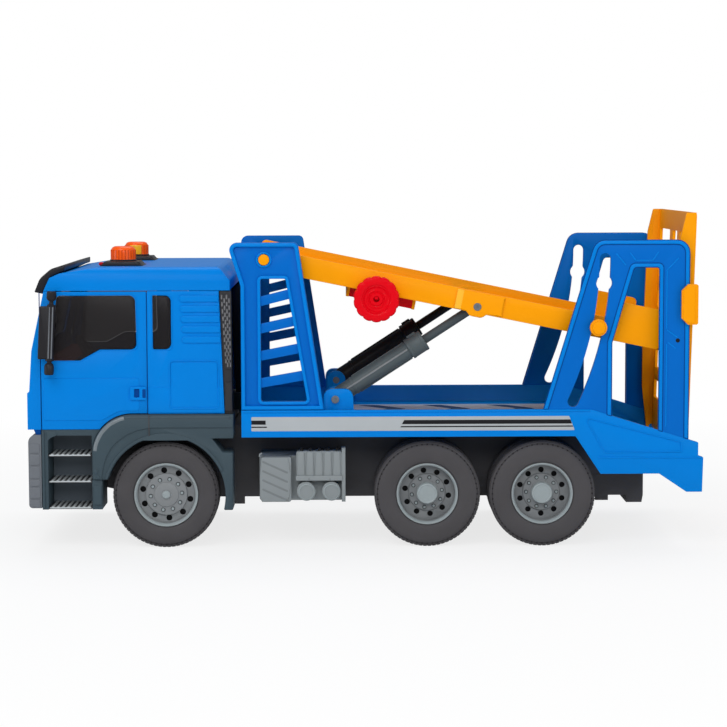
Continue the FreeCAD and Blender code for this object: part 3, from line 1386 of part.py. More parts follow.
def make_tyre(axle, name, side):
    body = new_body("%s_tyre_%s" % (axle, name))
    width = "front_tyre_width" if axle == "front" else "twin_tyre_width"
    rim = ("front" if axle == "front" else "rear") + "_rim_radius"
    sign = "" if side > 0 else "-"
    inner = "tyre_outer - %s" % width
    profile = [("(%s + tyre_shoulder / 2)" % inner, rim + " + seam / 3"), ("(%s)" % inner, "wheel_radius - tyre_shoulder * 3"),
               ("(%s + tyre_shoulder / 2)" % inner, "wheel_radius - tyre_shoulder"),
               ("(%s + tyre_shoulder)" % inner, "wheel_radius")]
    if axle != "front":
        half = "tyre_outer - twin_tyre_width / 2"
        profile += [("(%s - twin_groove / 2 - tyre_shoulder / 2)" % half, "wheel_radius"),
                    ("(%s - twin_groove / 2)" % half, "wheel_radius - tyre_shoulder"),
                    ("(%s - twin_groove / 2)" % half, "wheel_radius - twin_groove_depth"),
                    ("(%s + twin_groove / 2)" % half, "wheel_radius - twin_groove_depth"),
                    ("(%s + twin_groove / 2)" % half, "wheel_radius - tyre_shoulder"),
                    ("(%s + twin_groove / 2 + tyre_shoulder / 2)" % half, "wheel_radius")]
    profile += [("(tyre_outer - tyre_shoulder)", "wheel_radius"),
                ("(tyre_outer - tyre_shoulder / 2)", "wheel_radius - tyre_shoulder"),
                ("(tyre_outer)", "wheel_radius - tyre_shoulder * 3"),
                ("(tyre_outer - tyre_shoulder / 2)", rim + " + seam / 3")]
    revolve(body, "tyre", [(sign + across, up) for across, up in profile])
    place(body, axle + "_axle_x", "0", "wheel_radius")
    return body


# The whole truck

nodes = [make_chassis(), make_cab_front(), make_windshield(), make_roof(), make_quarter_glass(),
         make_cab_back(), make_back_glass(), make_cab_floor(), make_interior(), make_steering_wheel(),
         make_treads(), make_bumper(), make_headlamps(), make_grille(), make_visor(), make_intakes(),
         make_lower_deck(), make_tail_lamps(), make_gantry_wall(), make_upper_deck(), make_deck_pegs(),
         make_winch_box(), make_winch_knob(), make_ramp()]
nodes += make_beacons()
for side_name, side_sign in SIDES:
    nodes += [make_cab_side(side_name, side_sign), make_guard(side_name, side_sign),
              make_step(side_name, side_sign), make_gantry_side(side_name, side_sign),
              make_hoop(side_name, side_sign), make_equipment(side_name, side_sign)]
    nodes += make_doors(side_name, side_sign)
    nodes += make_lift(side_name, side_sign)
for axle_name in ("front", "middle", "rear"):
    nodes += [make_axle(axle_name), make_rims(axle_name)]
    nodes += [make_tyre(axle_name, side_name, side_sign) for side_name, side_sign in SIDES]
doc.recompute()

for item in doc.Objects:
    if "Invalid" in item.State or "Error" in item.State:
        raise RuntimeError("%s is %s" % (item.Label, item.State))
for node in nodes:
    if node.Shape.isNull() or not node.Shape.isValid():
        raise RuntimeError("%s has no valid shape" % node.Label)

os.makedirs("parts", exist_ok=True)
for node in nodes:
    node.Shape.exportStep("parts/%s.step" % node.Label)
print("%d nodes" % len(nodes))
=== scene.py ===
import json
import math

import bmesh
import bpy
from mathutils import Matrix, Vector


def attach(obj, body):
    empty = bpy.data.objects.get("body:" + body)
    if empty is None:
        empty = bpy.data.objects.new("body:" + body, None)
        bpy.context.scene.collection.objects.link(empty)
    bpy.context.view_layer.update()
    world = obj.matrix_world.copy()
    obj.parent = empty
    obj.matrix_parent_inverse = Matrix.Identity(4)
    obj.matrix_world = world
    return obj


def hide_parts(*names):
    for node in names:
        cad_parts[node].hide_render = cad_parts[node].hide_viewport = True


# Toy car transporter truck. Sizes are in millimetres here and become metres in each mesh.
# The truck drives towards -X, its left side is -Y, and z = 0 is the floor.

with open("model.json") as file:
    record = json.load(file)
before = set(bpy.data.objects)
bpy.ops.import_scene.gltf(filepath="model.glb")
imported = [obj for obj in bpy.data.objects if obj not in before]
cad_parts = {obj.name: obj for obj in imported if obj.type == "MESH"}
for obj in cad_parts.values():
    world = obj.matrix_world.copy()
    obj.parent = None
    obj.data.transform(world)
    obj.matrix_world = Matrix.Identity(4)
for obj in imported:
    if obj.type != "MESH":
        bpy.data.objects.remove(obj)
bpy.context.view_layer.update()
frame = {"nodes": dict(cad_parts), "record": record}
MM = 0.001
SIDES = (("left", -1), ("right", 1))


# Node trees

def feed(tree, node, inputs):
    """Link each named input of a node to a socket, or set it to a value."""
    for name, source in inputs.items():
        if isinstance(source, bpy.types.NodeSocket):
            tree.links.new(source, node.inputs[name])
        else:
            node.inputs[name].default_value = source


def add_node(tree, kind, inputs, out=0, **settings):
    """A new node with its settings and inputs; what comes back is one of its output sockets."""
    node = tree.nodes.new(kind)
    for name, value in settings.items():
        setattr(node, name, value)
    feed(tree, node, inputs)
    return node.outputs[out] if len(node.outputs) else None


# Finishes: the noises are (scale, detail) on Object coordinates

CLOUDS, SMEARS, GRAIN, RIPPLES = (70, 3), (240, 4), (2600, 2), (90, 1)
PLASTIC_GLOSS = 0.18
CLEAN = {"Specular IOR Level": 0.07}     # the bright plastics mirror less, so their colours stay clean


def srgb(rgb):
    def linear(part):
        part /= 255
        return part / 12.92 if part <= 0.04045 else ((part + 0.055) / 1.055) ** 2.4
    return (*(linear(part) for part in rgb), 1)


def finish_base(name, colour, roughness):
    material = bpy.data.materials.new(name)
    material.use_nodes = True
    tree = material.node_tree
    shader = tree.nodes["Principled BSDF"]
    feed(tree, shader, {"Base Color": colour, "Roughness": roughness, "Specular IOR Level": PLASTIC_GLOSS})
    return material, tree, shader


def noise_on_object(tree, scale, detail):
    coords = add_node(tree, "ShaderNodeTexCoord", {}, "Object")
    return add_node(tree, "ShaderNodeTexNoise", {"Scale": scale, "Detail": detail, "Vector": coords})


def add_bump(tree, shader, noise, strength, depth):
    feed(tree, shader, {"Normal": add_node(tree, "ShaderNodeBump", {
        "Strength": strength, "Distance": depth, "Height": noise_on_object(tree, *noise)})})


def plastic(name, rgb, roughness, grain, mottle=0.05, polish=0.12, coat=0.0, extra=None):
    """Moulded plastic with faint clouds in its colour, smears in its polish and a fine moulded grain."""
    colour = srgb(rgb)
    material, tree, shader = finish_base(name, colour, roughness)
    deep, pale = ((*(min(1, part * share) for part in colour[:3]), 1) for share in (1 - mottle, 1 + mottle))
    tint = add_node(tree, "ShaderNodeMixRGB",
                    {"Color1": deep, "Color2": pale, "Fac": noise_on_object(tree, *CLOUDS)})
    spread = add_node(tree, "ShaderNodeMapRange", {
        "To Min": max(0.02, roughness - polish / 2), "To Max": roughness + polish / 2,
        "Value": noise_on_object(tree, *SMEARS)})
    feed(tree, shader, {"Base Color": tint, "Roughness": spread, **(extra or {})})
    add_bump(tree, shader, GRAIN, grain, 0.0001)
    if coat:
        feed(tree, shader, {"Coat Weight": coat, "Coat Roughness": 0.12})
    return material


def clear_plastic(name, rgb, alpha, roughness):
    material, tree, shader = finish_base(name, srgb(rgb), roughness)
    feed(tree, shader, {"Alpha": alpha})
    add_bump(tree, shader, RIPPLES, 0.05, 0.0005)
    return material


def glow_painted_plastic(name, rgb, glow):
    """Plastic with a painted glow, as though a little light came out of it, under a clear coat."""
    light = {"Emission Color": srgb(rgb), "Emission Strength": glow}
    return plastic(name, rgb, 0.3, 0.1, 0.06, 0.1, 0.3, light)


def rubber(name, rgb):
    return plastic(name, rgb, 0.62, 0.35, 0.12, 0.1)


BLUE = plastic("blue cab plastic", (0, 127, 217), 0.3, 0.12, 0.03, 0.1, extra=CLEAN)
# The frame faces are the cab's blue plastic made darker: painted shade of their recessed faces.
BLUE_SHADED = plastic("blue frame face, painted shade", (0, 105, 197), 0.34, 0.12, 0.03, 0.1, extra=CLEAN)
# Darker blue for grooves, gaps and recesses: painted shade.
BLUE_SHADE_LINE = plastic("blue groove, painted shade", (0, 66, 140), 0.5, 0.1, extra=CLEAN)
ORANGE = plastic("orange deck plastic", (254, 160, 2), 0.36, 0.12, 0.03, 0.1, extra=CLEAN)
ORANGE_PALE = plastic("pale orange boss plastic", (255, 188, 56), 0.36, 0.12, 0.03, 0.1, extra=CLEAN)
SLATE = plastic("slate step plastic", (64, 79, 87), 0.42, 0.3)
# Lighter slate for the mudguard's rounded edge: a painted highlight.
SLATE_HIGHLIGHT = plastic("slate plastic, painted highlight", (116, 125, 130), 0.3, 0.1, 0.04, 0.1, 0.5)
# Slate made much lighter for the shaded step recess: painted light.
SLATE_LIT = plastic("slate step recess, painted light", (112, 122, 132), 0.5, 0.3)
DARK = plastic("dark bumper plastic", (110, 114, 120), 0.4, 0.3)
BLACK = plastic("black chassis plastic", (77, 76, 78), 0.5, 0.3)
PALE = plastic("pale grey equipment plastic", (138, 144, 146), 0.5, 0.25)
# Darker equipment grey: painted shade in grooves.
PALE_SHADE = plastic("grey equipment groove, painted shade", (122, 127, 129), 0.55, 0.25)
SILVER = plastic("silver paint", (188, 194, 196), 0.34, 0.2)
GREY = plastic("grey cylinder plastic", (84, 93, 96), 0.36, 0.2)
# Near-black plastic for the far cylinder: painted shade.
CYLINDER_SHADED = plastic("dark cylinder plastic, painted shade", (32, 33, 35), 0.35, 0.15)
ROD_NEAR = plastic("slate rod plastic", (76, 84, 88), 0.35, 0.15)
VISOR = plastic("black visor plastic", (40, 39, 42), 0.34, 0.2)
RIM = plastic("grey rim plastic", (133, 136, 138), 0.36, 0.3)
# Bright paint for the rim trim and nuts, also a painted highlight on the tank rings.
RIM_BRIGHT_AND_HIGHLIGHT = plastic("bright rim paint, and painted highlight", (152, 161, 163), 0.28, 0.12)
# Dark grey rings round the wheel nuts: painted shadow.
RIM_PAINTED_SHADOW = plastic("rim nut ring, painted shadow", (66, 70, 73), 0.5, 0.12)
TYRE = rubber("tyre rubber", (76, 74, 76))
# Darker rubber for the shoulder grooves: painted shade.
TYRE_GROOVE_SHADE = rubber("tyre groove, painted shade", (46, 44, 46))
STEEL = plastic("axle steel", (160, 160, 165), 0.3, 0.2, extra={"Metallic": 1.0})
RED = plastic("red knob plastic", (226, 0, 20), 0.34, 0.12, 0.04, 0.1, 0.08, CLEAN)
# Darker red: painted shade.
RED_SHADED = plastic("red plastic, painted shade", (214, 6, 18), 0.4, 0.12, 0.04, extra=CLEAN)
# These lenses glow a little though no lamp is in them: painted glow.
AMBER = glow_painted_plastic("amber lens", (244, 88, 0), 0.12)
AMBER_RIB_SHADE = glow_painted_plastic("amber lens rib, painted shade", (216, 72, 0), 0.06)
AMBER_PALE = glow_painted_plastic("pale amber lens pane", (255, 180, 20), 0.05)
TAIL_RED = glow_painted_plastic("red lens", (190, 10, 20), 0.04)
LENS = clear_plastic("headlamp lens", (215, 222, 228), 0.55, 0.08)
GLASS = clear_plastic("smoked window", (38, 35, 36), 0.72, 0.3)
STRIP = plastic("silver side strip", (176, 181, 184), 0.3, 0.05)
# Black for printed stripes, and also for painted shade behind holes.
INK_AND_SHADE = plastic("black print, and painted shade", (30, 30, 33), 0.32, 0.05)
# Silver floor sheet tinted bluish: a painted reflection of the blue rails.
FLOOR_SILVER_AND_REFLECTION = plastic("silver floor sheet, painted blue reflection", (214, 230, 250), 0.3, 0.05)
NAVY = plastic("navy floor figure", (12, 66, 128), 0.4, 0.05)
SEAT_GLOWING = glow_painted_plastic("brown seat plastic, painted glow", (150, 76, 58), 0.3)
INTAKE = plastic("black intake plastic", (52, 52, 55), 0.5, 0.2)
INTAKE_HIGHLIGHT = plastic("grey behind intake holes, painted highlight", (138, 138, 141), 0.5, 0.2)

BODY_OF = {member: body_name for body_name, members in frame["record"]["behaviour"]["bodies"].items()
           for member in members}


# Mesh makers

def soften(mesh, angle=32):
    mesh.shade_smooth()
    mesh.set_sharp_from_angle(angle=math.radians(angle))
    return mesh


def add_piece(name, mesh, material, body, stands_for=()):
    mesh.name = name
    piece = bpy.data.objects.new(name, mesh)
    bpy.context.scene.collection.objects.link(piece)
    mesh.materials.clear()
    mesh.materials.append(material)
    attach(piece, body)
    if stands_for:
        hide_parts(*stands_for)


def loose(name, data):
    obj = bpy.data.objects.new(name, data)
    bpy.context.scene.collection.objects.link(obj)
    return obj


def baked(obj):
    """An object's mesh as its modifiers or its curve settings leave it; the object itself goes."""
    bpy.context.view_layer.update()
    graph = bpy.context.evaluated_depsgraph_get()
    mesh = bpy.data.meshes.new_from_object(obj.evaluated_get(graph), depsgraph=graph)
    old = obj.data
    bpy.data.objects.remove(obj)
    if isinstance(old, bpy.types.Mesh) and not old.users:
        bpy.data.meshes.remove(old)
    return mesh


def as_mesh(shell, mesh=None):
    """Write a bmesh to a mesh, to a new one where none is given, and free it."""
    mesh = mesh or bpy.data.meshes.new("part")
    shell.to_mesh(mesh)
    shell.free()
    return mesh


def merged(meshes):
    shell = bmesh.new()
    for mesh in meshes:
        shell.from_mesh(mesh)
        bpy.data.meshes.remove(mesh)
    return as_mesh(shell)


def span(way, near, far):
    """Two distances from the middle as the lower and higher Y on one side."""
    return sorted((way * near, way * far))


CORNER_STEPS = 5


def rounded(points):
    """An outline's points, with an arc at each point that has a radius as its third number."""
    spots = []
    for i, point in enumerate(points):
        here = Vector(point[:2])
        if len(point) < 3 or point[2] <= 0:
            spots.append(here)
            continue
        back = (Vector(points[i - 1][:2]) - here).normalized()
        ahead = (Vector(points[(i + 1) % len(points)][:2]) - here).normalized()
        half = back.angle(ahead) / 2
        centre = here + (back + ahead).normalized() * (point[2] / math.sin(half))
        first = here + back * (point[2] / math.tan(half)) - centre
        last = here + ahead * (point[2] / math.tan(half)) - centre
        sweep = first.angle_signed(last)
        spots += [centre + Matrix.Rotation(-sweep * step / CORNER_STEPS, 2) @ first
                  for step in range(CORNER_STEPS + 1)]
    return spots


PLATE_TURN = {
    "y": Matrix(((1, 0, 0, 0), (0, 0, -1, 0), (0, 1, 0, 0), (0, 0, 0, 1))),
    "x": Matrix(((0, 0, 1, 0), (1, 0, 0, 0), (0, 1, 0, 0), (0, 0, 0, 1))),
    "z": Matrix.Identity(4),
}
LATHE_TURN = {
    "y": Matrix.Rotation(math.radians(-90), 4, "X"),
    "x": Matrix.Rotation(math.radians(90), 4, "Y"),
    "z": Matrix.Identity(4),
}


def add_line(curve, points, closed):
    spline = curve.splines.new("POLY")
    spline.points.add(len(points) - 1)
    for point, target in zip(points, spline.points):
        target.co = (*(Vector(point).to_3d() * MM), 1)
    spline.use_cyclic_u = closed


def plate(loops, low, high, axis="y", bevel=0.4, place=None):
    """A flat plate from outlines, the first its edge and the rest holes, between two planes across the axis."""
    curve = bpy.data.curves.new("plate", "CURVE")
    curve.dimensions = "2D"
    curve.fill_mode = "BOTH"
    thick = high - low
    bevel = min(bevel, thick / 2 * 0.98)
    curve.extrude = (thick / 2 - bevel) * MM
    curve.bevel_depth = bevel * MM
    curve.bevel_resolution = 2
    curve.offset = -bevel * MM
    for loop in loops:
        add_line(curve, rounded(loop), True)
    mesh = baked(loose("plate", curve))
    middle = (low + high) / 2 * MM
    shift = Matrix.Translation((0, 0, -middle if axis == "y" else middle))
    mesh.transform((place or Matrix.Identity(4)) @ PLATE_TURN[axis] @ shift)
    shell = bmesh.new()
    shell.from_mesh(mesh)
    bmesh.ops.remove_doubles(shell, verts=shell.verts, dist=1e-6)
    bmesh.ops.recalc_face_normals(shell, faces=shell.faces)
    return soften(as_mesh(shell, mesh))


def lathe(profile, centre, axis="y", steps=64, angle=30):
    """A turned shape: the profile is (radius, along the axis) points, and the axis passes through the centre."""
    shell = bmesh.new()
    rings = []
    for radius, along in profile:
        if radius < 1e-6:
            rings.append([shell.verts.new((0, 0, along * MM))])
        else:
            rings.append([shell.verts.new((radius * MM * math.cos(turn), radius * MM * math.sin(turn), along * MM))
                          for turn in (2 * math.pi * i / steps for i in range(steps))])
    for near, far in zip(rings, rings[1:]):
        for i in range(steps):
            j = (i + 1) % steps
            corners = [near[i % len(near)], near[j % len(near)], far[j % len(far)], far[i % len(far)]]
            shell.faces.new(list(dict.fromkeys(corners)))
    bmesh.ops.recalc_face_normals(shell, faces=shell.faces)
    mesh = as_mesh(shell)
    mesh.transform(Matrix.Translation(Vector(centre) * MM) @ LATHE_TURN[axis])
    return soften(mesh, angle)


def tube(points, radius, ring=4):
    """A round bar along a line of points."""
    curve = bpy.data.curves.new("tube", "CURVE")
    curve.dimensions = "3D"
    curve.bevel_depth = radius * MM
    curve.bevel_resolution = ring
    curve.use_fill_caps = True
    add_line(curve, points, False)
    return soften(baked(loose("tube", curve)))


def block(low, high, bevel=0.0):
    """A small box between two corners, with its edges taken off."""
    shell = bmesh.new()
    bmesh.ops.create_cube(shell, size=1)
    for vert in shell.verts:
        vert.co = Vector([(low[i] + high[i]) / 2 + vert.co[i] * (high[i] - low[i]) for i in range(3)]) * MM
    if bevel:
        bmesh.ops.bevel(shell, geom=list(shell.edges), offset=bevel * MM, segments=1, profile=0.5,
                        affect="EDGES", clamp_overlap=True)
    return soften(as_mesh(shell))


def dress_node(node, material, bevel):
    """A copy of a CAD node's mesh, welded, with its flat faces joined and its edges rounded, stands for the node."""
    mesh = frame["nodes"][node].data.copy()
    shell = bmesh.new()
    shell.from_mesh(mesh)
    bmesh.ops.remove_doubles(shell, verts=shell.verts, dist=2e-6)
    bmesh.ops.dissolve_limit(shell, angle_limit=math.radians(0.5), verts=shell.verts, edges=shell.edges,
                             delimit={"NORMAL"})
    bmesh.ops.recalc_face_normals(shell, faces=shell.faces)
    obj = loose("dressed", as_mesh(shell, mesh))
    if bevel:
        edge = obj.modifiers.new("edge", "BEVEL")
        edge.width = bevel * MM
        edge.segments = 2
        edge.limit_method = "ANGLE"
        edge.angle_limit = math.radians(25)
        edge.use_clamp_overlap = True
    add_piece(node + "_shell", soften(baked(obj), 38), material, BODY_OF[node], [node])


# Repeats: a Geometry Nodes tree lays out copies of a small tool and bakes them to one mesh

def metres(point):
    return tuple(part * MM for part in point)


def repeat_tree(inputs):
    """A tree with named inputs: the tree, its group input's sockets, and the values for its modifier."""
    tree = bpy.data.node_groups.new("copies", "GeometryNodeTree")
    tree.interface.new_socket("Geometry", in_out="INPUT", socket_type="NodeSocketGeometry")
    values = {tree.interface.new_socket(label, in_out="INPUT", socket_type="NodeSocket" + kind).identifier: value
              for label, (kind, value) in inputs.items()}
    tree.interface.new_socket("Geometry", in_out="OUTPUT", socket_type="NodeSocketGeometry")
    return tree, tree.nodes.new("NodeGroupInput").outputs, values


def bake_copies(tree, given, values, tool, points, material, turns=None):
    """Stand the tool on each point, turned and placed where turns are given, and bake that."""
    lay = {"Points": points, "Instance": given["Geometry"]}
    if turns:
        lay["Rotation"] = turns
    last = add_node(tree, "GeometryNodeRealizeInstances",
                    {"Geometry": add_node(tree, "GeometryNodeInstanceOnPoints", lay)})
    if turns:
        last = add_node(tree, "GeometryNodeTransform",
                        {"Geometry": last, "Translation": given["Place"], "Rotation": given["Turn"]})
    last = add_node(tree, "GeometryNodeSetMaterial", {"Geometry": last, "Material": material})
    add_node(tree, "NodeGroupOutput", {"Geometry": last})
    obj = loose("repeat", tool)
    modifier = obj.modifiers.new("repeat", "NODES")
    modifier.node_group = tree
    for identifier, value in values.items():
        modifier[identifier] = value
    mesh = baked(obj)
    bpy.data.node_groups.remove(tree)
    return mesh


def ring_of(tool, count, radius, centre, material, phase=0.0, axis="y"):
    """Copies of a tool in a ring about an axis: the tool stands at the origin with +X pointing outwards."""
    tree, given, values = repeat_tree({
        "Count": ("Int", count), "Radius": ("Float", radius * MM), "Phase": ("Float", math.radians(phase)),
        "Place": ("Vector", metres(centre)),
        "Turn": ("Vector", (math.radians(90) if axis == "y" else 0.0, 0.0, 0.0))})
    line = add_node(tree, "GeometryNodeMeshLine", {"Count": given["Count"]})
    index = add_node(tree, "GeometryNodeInputIndex", {})
    share = add_node(tree, "ShaderNodeMath", {0: index, 1: given["Count"]}, operation="DIVIDE")
    angle = add_node(tree, "ShaderNodeMath", {0: share, 1: 2 * math.pi, 2: given["Phase"]},
                     operation="MULTIPLY_ADD")
    across, up = (add_node(tree, "ShaderNodeMath", {0: angle}, operation=kind) for kind in ("COSINE", "SINE"))
    outward = add_node(tree, "ShaderNodeCombineXYZ", {"X": across, "Y": up})
    spot = add_node(tree, "ShaderNodeVectorMath", {"Vector": outward, "Scale": given["Radius"]},
                    operation="SCALE")
    points = add_node(tree, "GeometryNodeSetPosition", {"Geometry": line, "Position": spot})
    turns = add_node(tree, "ShaderNodeCombineXYZ", {"Z": angle})
    return bake_copies(tree, given, values, tool, points, material, turns)


def field_of(tool, columns, rows, step, rise, start, material):
    """Copies of a tool in rows and columns over a flat field."""
    tree, given, values = repeat_tree({
        "Columns": ("Int", columns), "Rows": ("Int", rows), "Step": ("Vector", metres(step)),
        "Rise": ("Vector", metres(rise)), "Start": ("Vector", metres(start))})
    row = add_node(tree, "GeometryNodeMeshLine", {
        "Count": given["Columns"], "Offset": given["Step"], "Start Location": given["Start"]}, mode="OFFSET")
    column = add_node(tree, "GeometryNodeMeshLine", {"Count": given["Rows"], "Offset": given["Rise"]},
                      mode="OFFSET")
    spread = add_node(tree, "GeometryNodeInstanceOnPoints", {"Points": column, "Instance": row})
    points = add_node(tree, "GeometryNodeRealizeInstances", {"Geometry": spread})
    return bake_copies(tree, given, values, tool, points, material)


# Outlines

def inset(points, gap):
    """The outline moved inwards by a gap, or outwards where the gap is below zero."""
    count = len(points)
    area = sum(a[0] * b[1] - b[0] * a[1] for a, b in zip(points, [*points[1:], points[0]]))
    way = 1 if area > 0 else -1
    moved = []
    for i in range(count):
        here = Vector(points[i][:2])
        before = (here - Vector(points[i - 1][:2])).normalized()
        after = (Vector(points[(i + 1) % count][:2]) - here).normalized()
        step = Vector((-before.y, before.x)) * way * gap
        next_step = Vector((-after.y, after.x)) * way * gap
        cross = before.x * after.y - before.y * after.x
        spot = here + step
        if abs(cross) > 1e-6:
            change = next_step - step
            spot += before * ((change.x * after.y - change.y * after.x) / cross)
        radius = points[i][2] if len(points[i]) > 2 else 0
        moved.append((spot.x, spot.y, max(0.0, radius - gap if cross * way > 0 else radius + gap)))
    return moved


def stroke(start, end, width):
    """A narrow bar between two points, with round ends."""
    first, last = Vector(start), Vector(end)
    along = (last - first).normalized() * width / 2
    across = Vector((-along.y, along.x))
    corners = (first - along + across, last + along + across, last + along - across, first - along - across)
    return [(corner.x, corner.y, width * 0.48) for corner in corners]


def box_loop(low_a, high_a, low_b, high_b, radius=0.0):
    return [(low_a, low_b, radius), (high_a, low_b, radius), (high_a, high_b, radius), (low_a, high_b, radius)]


def arc(centre, radius, angles):
    """Points round a centre at these angles, in degrees."""
    return [(centre[0] + radius * math.cos(turn), centre[1] + radius * math.sin(turn))
            for turn in map(math.radians, angles)]


def circle_loop(a, b, radius, steps=24):
    return arc((a, b), radius, [360 * i / steps for i in range(steps)])


# The same on both sides: distances are from the middle, and SIDE in a body's name becomes left or right

def side_plates(name, loops, inner, outer, bevel=0.3, material=BLUE, body="truck", place=None):
    for side, way in SIDES:
        add_piece(name + "_" + side, plate(loops, *span(way, inner, outer), "y", bevel, place), material,
                  body.replace("SIDE", side))


def side_lathes(name, profile, centre, material):
    for side, way in SIDES:
        mesh = lathe([(radius, way * along) for radius, along in profile], (centre[0], 0, centre[1]), "y", 40)
        add_piece(name + "_" + side, mesh, material, "truck")


# Wheels: profiles are (radius, distance from the middle), and turns are in degrees

WHEEL_Z = 35.2
WHEELS = {
    "front": {"x": -132.8, "rim": 21.4, "turn": 5.7, "kind": "single", "tyres": [(59.0, 79.0)]},
    "middle": {"x": 40.3, "rim": 20.6, "turn": 8.5, "kind": "twin", "tyres": [(41.0, 58.5), (61.5, 79.0)]},
    "rear": {"x": 116.6, "rim": 20.6, "turn": 0.0, "kind": "twin", "tyres": [(41.0, 58.5), (61.5, 79.0)]},
}
RIMS = {
    "twin": {
        "barrel": [(0, 64), (18.6, 64), (18.6, 69), (18.9, 70.5), (19.1, 75.9), (19.6, 76.3), (19.7, 77.2),
                   (20, 77.8), (20.4, 77.8), (20.55, 77.3), (20.55, 41.8), (19.8, 41.4), (18.9, 42.2),
                   (18.4, 46), (18.2, 60), (4, 60), (4, 42), (0, 42)],
        "disc": 68.3, "holes": (14.7, 1.85), "nut_seat": 70.0, "nuts": (10.1, 0.85, 69.4, 70.8),
        "flange": [(12.6, 68.2), (12.4, 69.1), (11.9, 69.6), (8.2, 69.9), (7.9, 70.2), (7.2, 70.3), (7, 70.3)],
        "cap": [(7, 69.8), (6.95, 75.9), (6.6, 76.7), (5.9, 76.95), (5.4, 76.6), (0, 76.6)],
        "lip": [(18.55, 75.6), (18.8, 76.6), (19.2, 77.5), (19.7, 77.95), (20.2, 77.95), (20.55, 77.2)],
    },
    "single": {
        "barrel": [(0, 69), (18.9, 69), (18.9, 73.4), (19.2, 74.4), (19.5, 76.2), (20, 76.6), (20.2, 77.4),
                   (20.6, 77.8), (21.1, 77.8), (21.35, 77.3), (21.35, 59.9), (20.6, 59.4), (19.4, 60.2),
                   (18.8, 62), (18.4, 66), (4, 66), (4, 60), (0, 60)],
        "disc": 73.2, "holes": (16.0, 2.0), "nut_seat": 75.2, "nuts": (10.4, 0.95, 74.9, 76.3),
        "flange": [(14, 73.1), (13.9, 74.5), (13.5, 75), (8.3, 75.3), (8, 75.9), (7.6, 76.1), (3, 76.1),
                   (2.7, 76.9), (2.1, 77.4), (0, 77.5)],
        "cap": [(2.9, 76.1), (2.7, 76.95), (2.1, 77.5), (0, 77.6)],
        "lip": [(19.2, 75.9), (19.5, 76.8), (19.9, 77.6), (20.5, 78.0), (21, 77.95), (21.35, 77.2)],
    },
}
NUTS = 10      # and as many holes
TREAD_GROOVES = (0.27, 0.5, 0.73)      # as shares of a tyre's width
TREAD_ROUND, TICKS_ROUND = 72, 60


def tyre_section(rim, inner, outer, way):
    """One tyre's closed section, from the bead on its outer face round to the bead on its inner face."""
    half = [(rim + 0.1, 1.9), (rim + 0.5, 1.2), (rim + 1.3, 0.75), (rim + 2.6, 0.35), (rim + 5.2, 0.05),
            (30.0, 0.1), (31.2, 0.3), (32.3, 0.7), (32.75, 0.95), (32.85, 1.5), (33.3, 1.6), (33.45, 1.15),
            (34.1, 1.45), (34.6, 1.95), (34.8, 2.7)]
    section = [(radius, way * (outer - depth)) for radius, depth in half]
    for share in reversed(TREAD_GROOVES):
        middle = inner + share * (outer - inner)
        section += [(radius, way * (middle + offset))
                    for radius, offset in ((34.8, 0.55), (33.9, 0.4), (33.9, -0.4), (34.8, -0.55))]
    section += [(radius, way * (inner + depth)) for radius, depth in reversed(half)]
    section.append(section[0])
    return section


def tyre_meshes(data, centre, way):
    """One side's tyres with their tread blocks, and apart from them the dark ticks round each shoulder: painted
    shade of the shoulder grooves.
    """
    tyres, ticks = [], []
    for inner, outer in data["tyres"]:
        tyres.append(lathe(tyre_section(data["rim"], inner, outer, way), centre, "y", 96, 50))
        cuts = [inner + share * (outer - inner) for share in TREAD_GROOVES]
        rows = [(inner + 2.5, cuts[0] - 0.6, 0), (cuts[0] + 0.6, cuts[1] - 0.6, 2.5),
                (cuts[1] + 0.6, cuts[2] - 0.6, 0), (cuts[2] + 0.6, outer - 2.5, 2.5)]
        lugs = [(tyres, TYRE, row, (-1.0, 0.0, 1.2), TREAD_ROUND, WHEEL_Z - 0.05) for row in rows]
        lugs += [(ticks, TYRE_GROOVE_SHADE, row, (-0.5, 0.5, 0.55), TICKS_ROUND, 33.1)
                 for row in ((inner + 0.9, inner + 1.7, 0), (outer - 1.7, outer - 0.9, 0))]
        for group, finish, (near, far, phase), (base, top, half), count, radius in lugs:
            low, high = span(-way, near, far)
            lug = block((base, low, -half), (top, high, half))
            lug.transform(Matrix.Rotation(math.radians(90), 4, "X"))
            group.append(ring_of(lug, count, radius, centre, finish, phase))
    return tyres, ticks


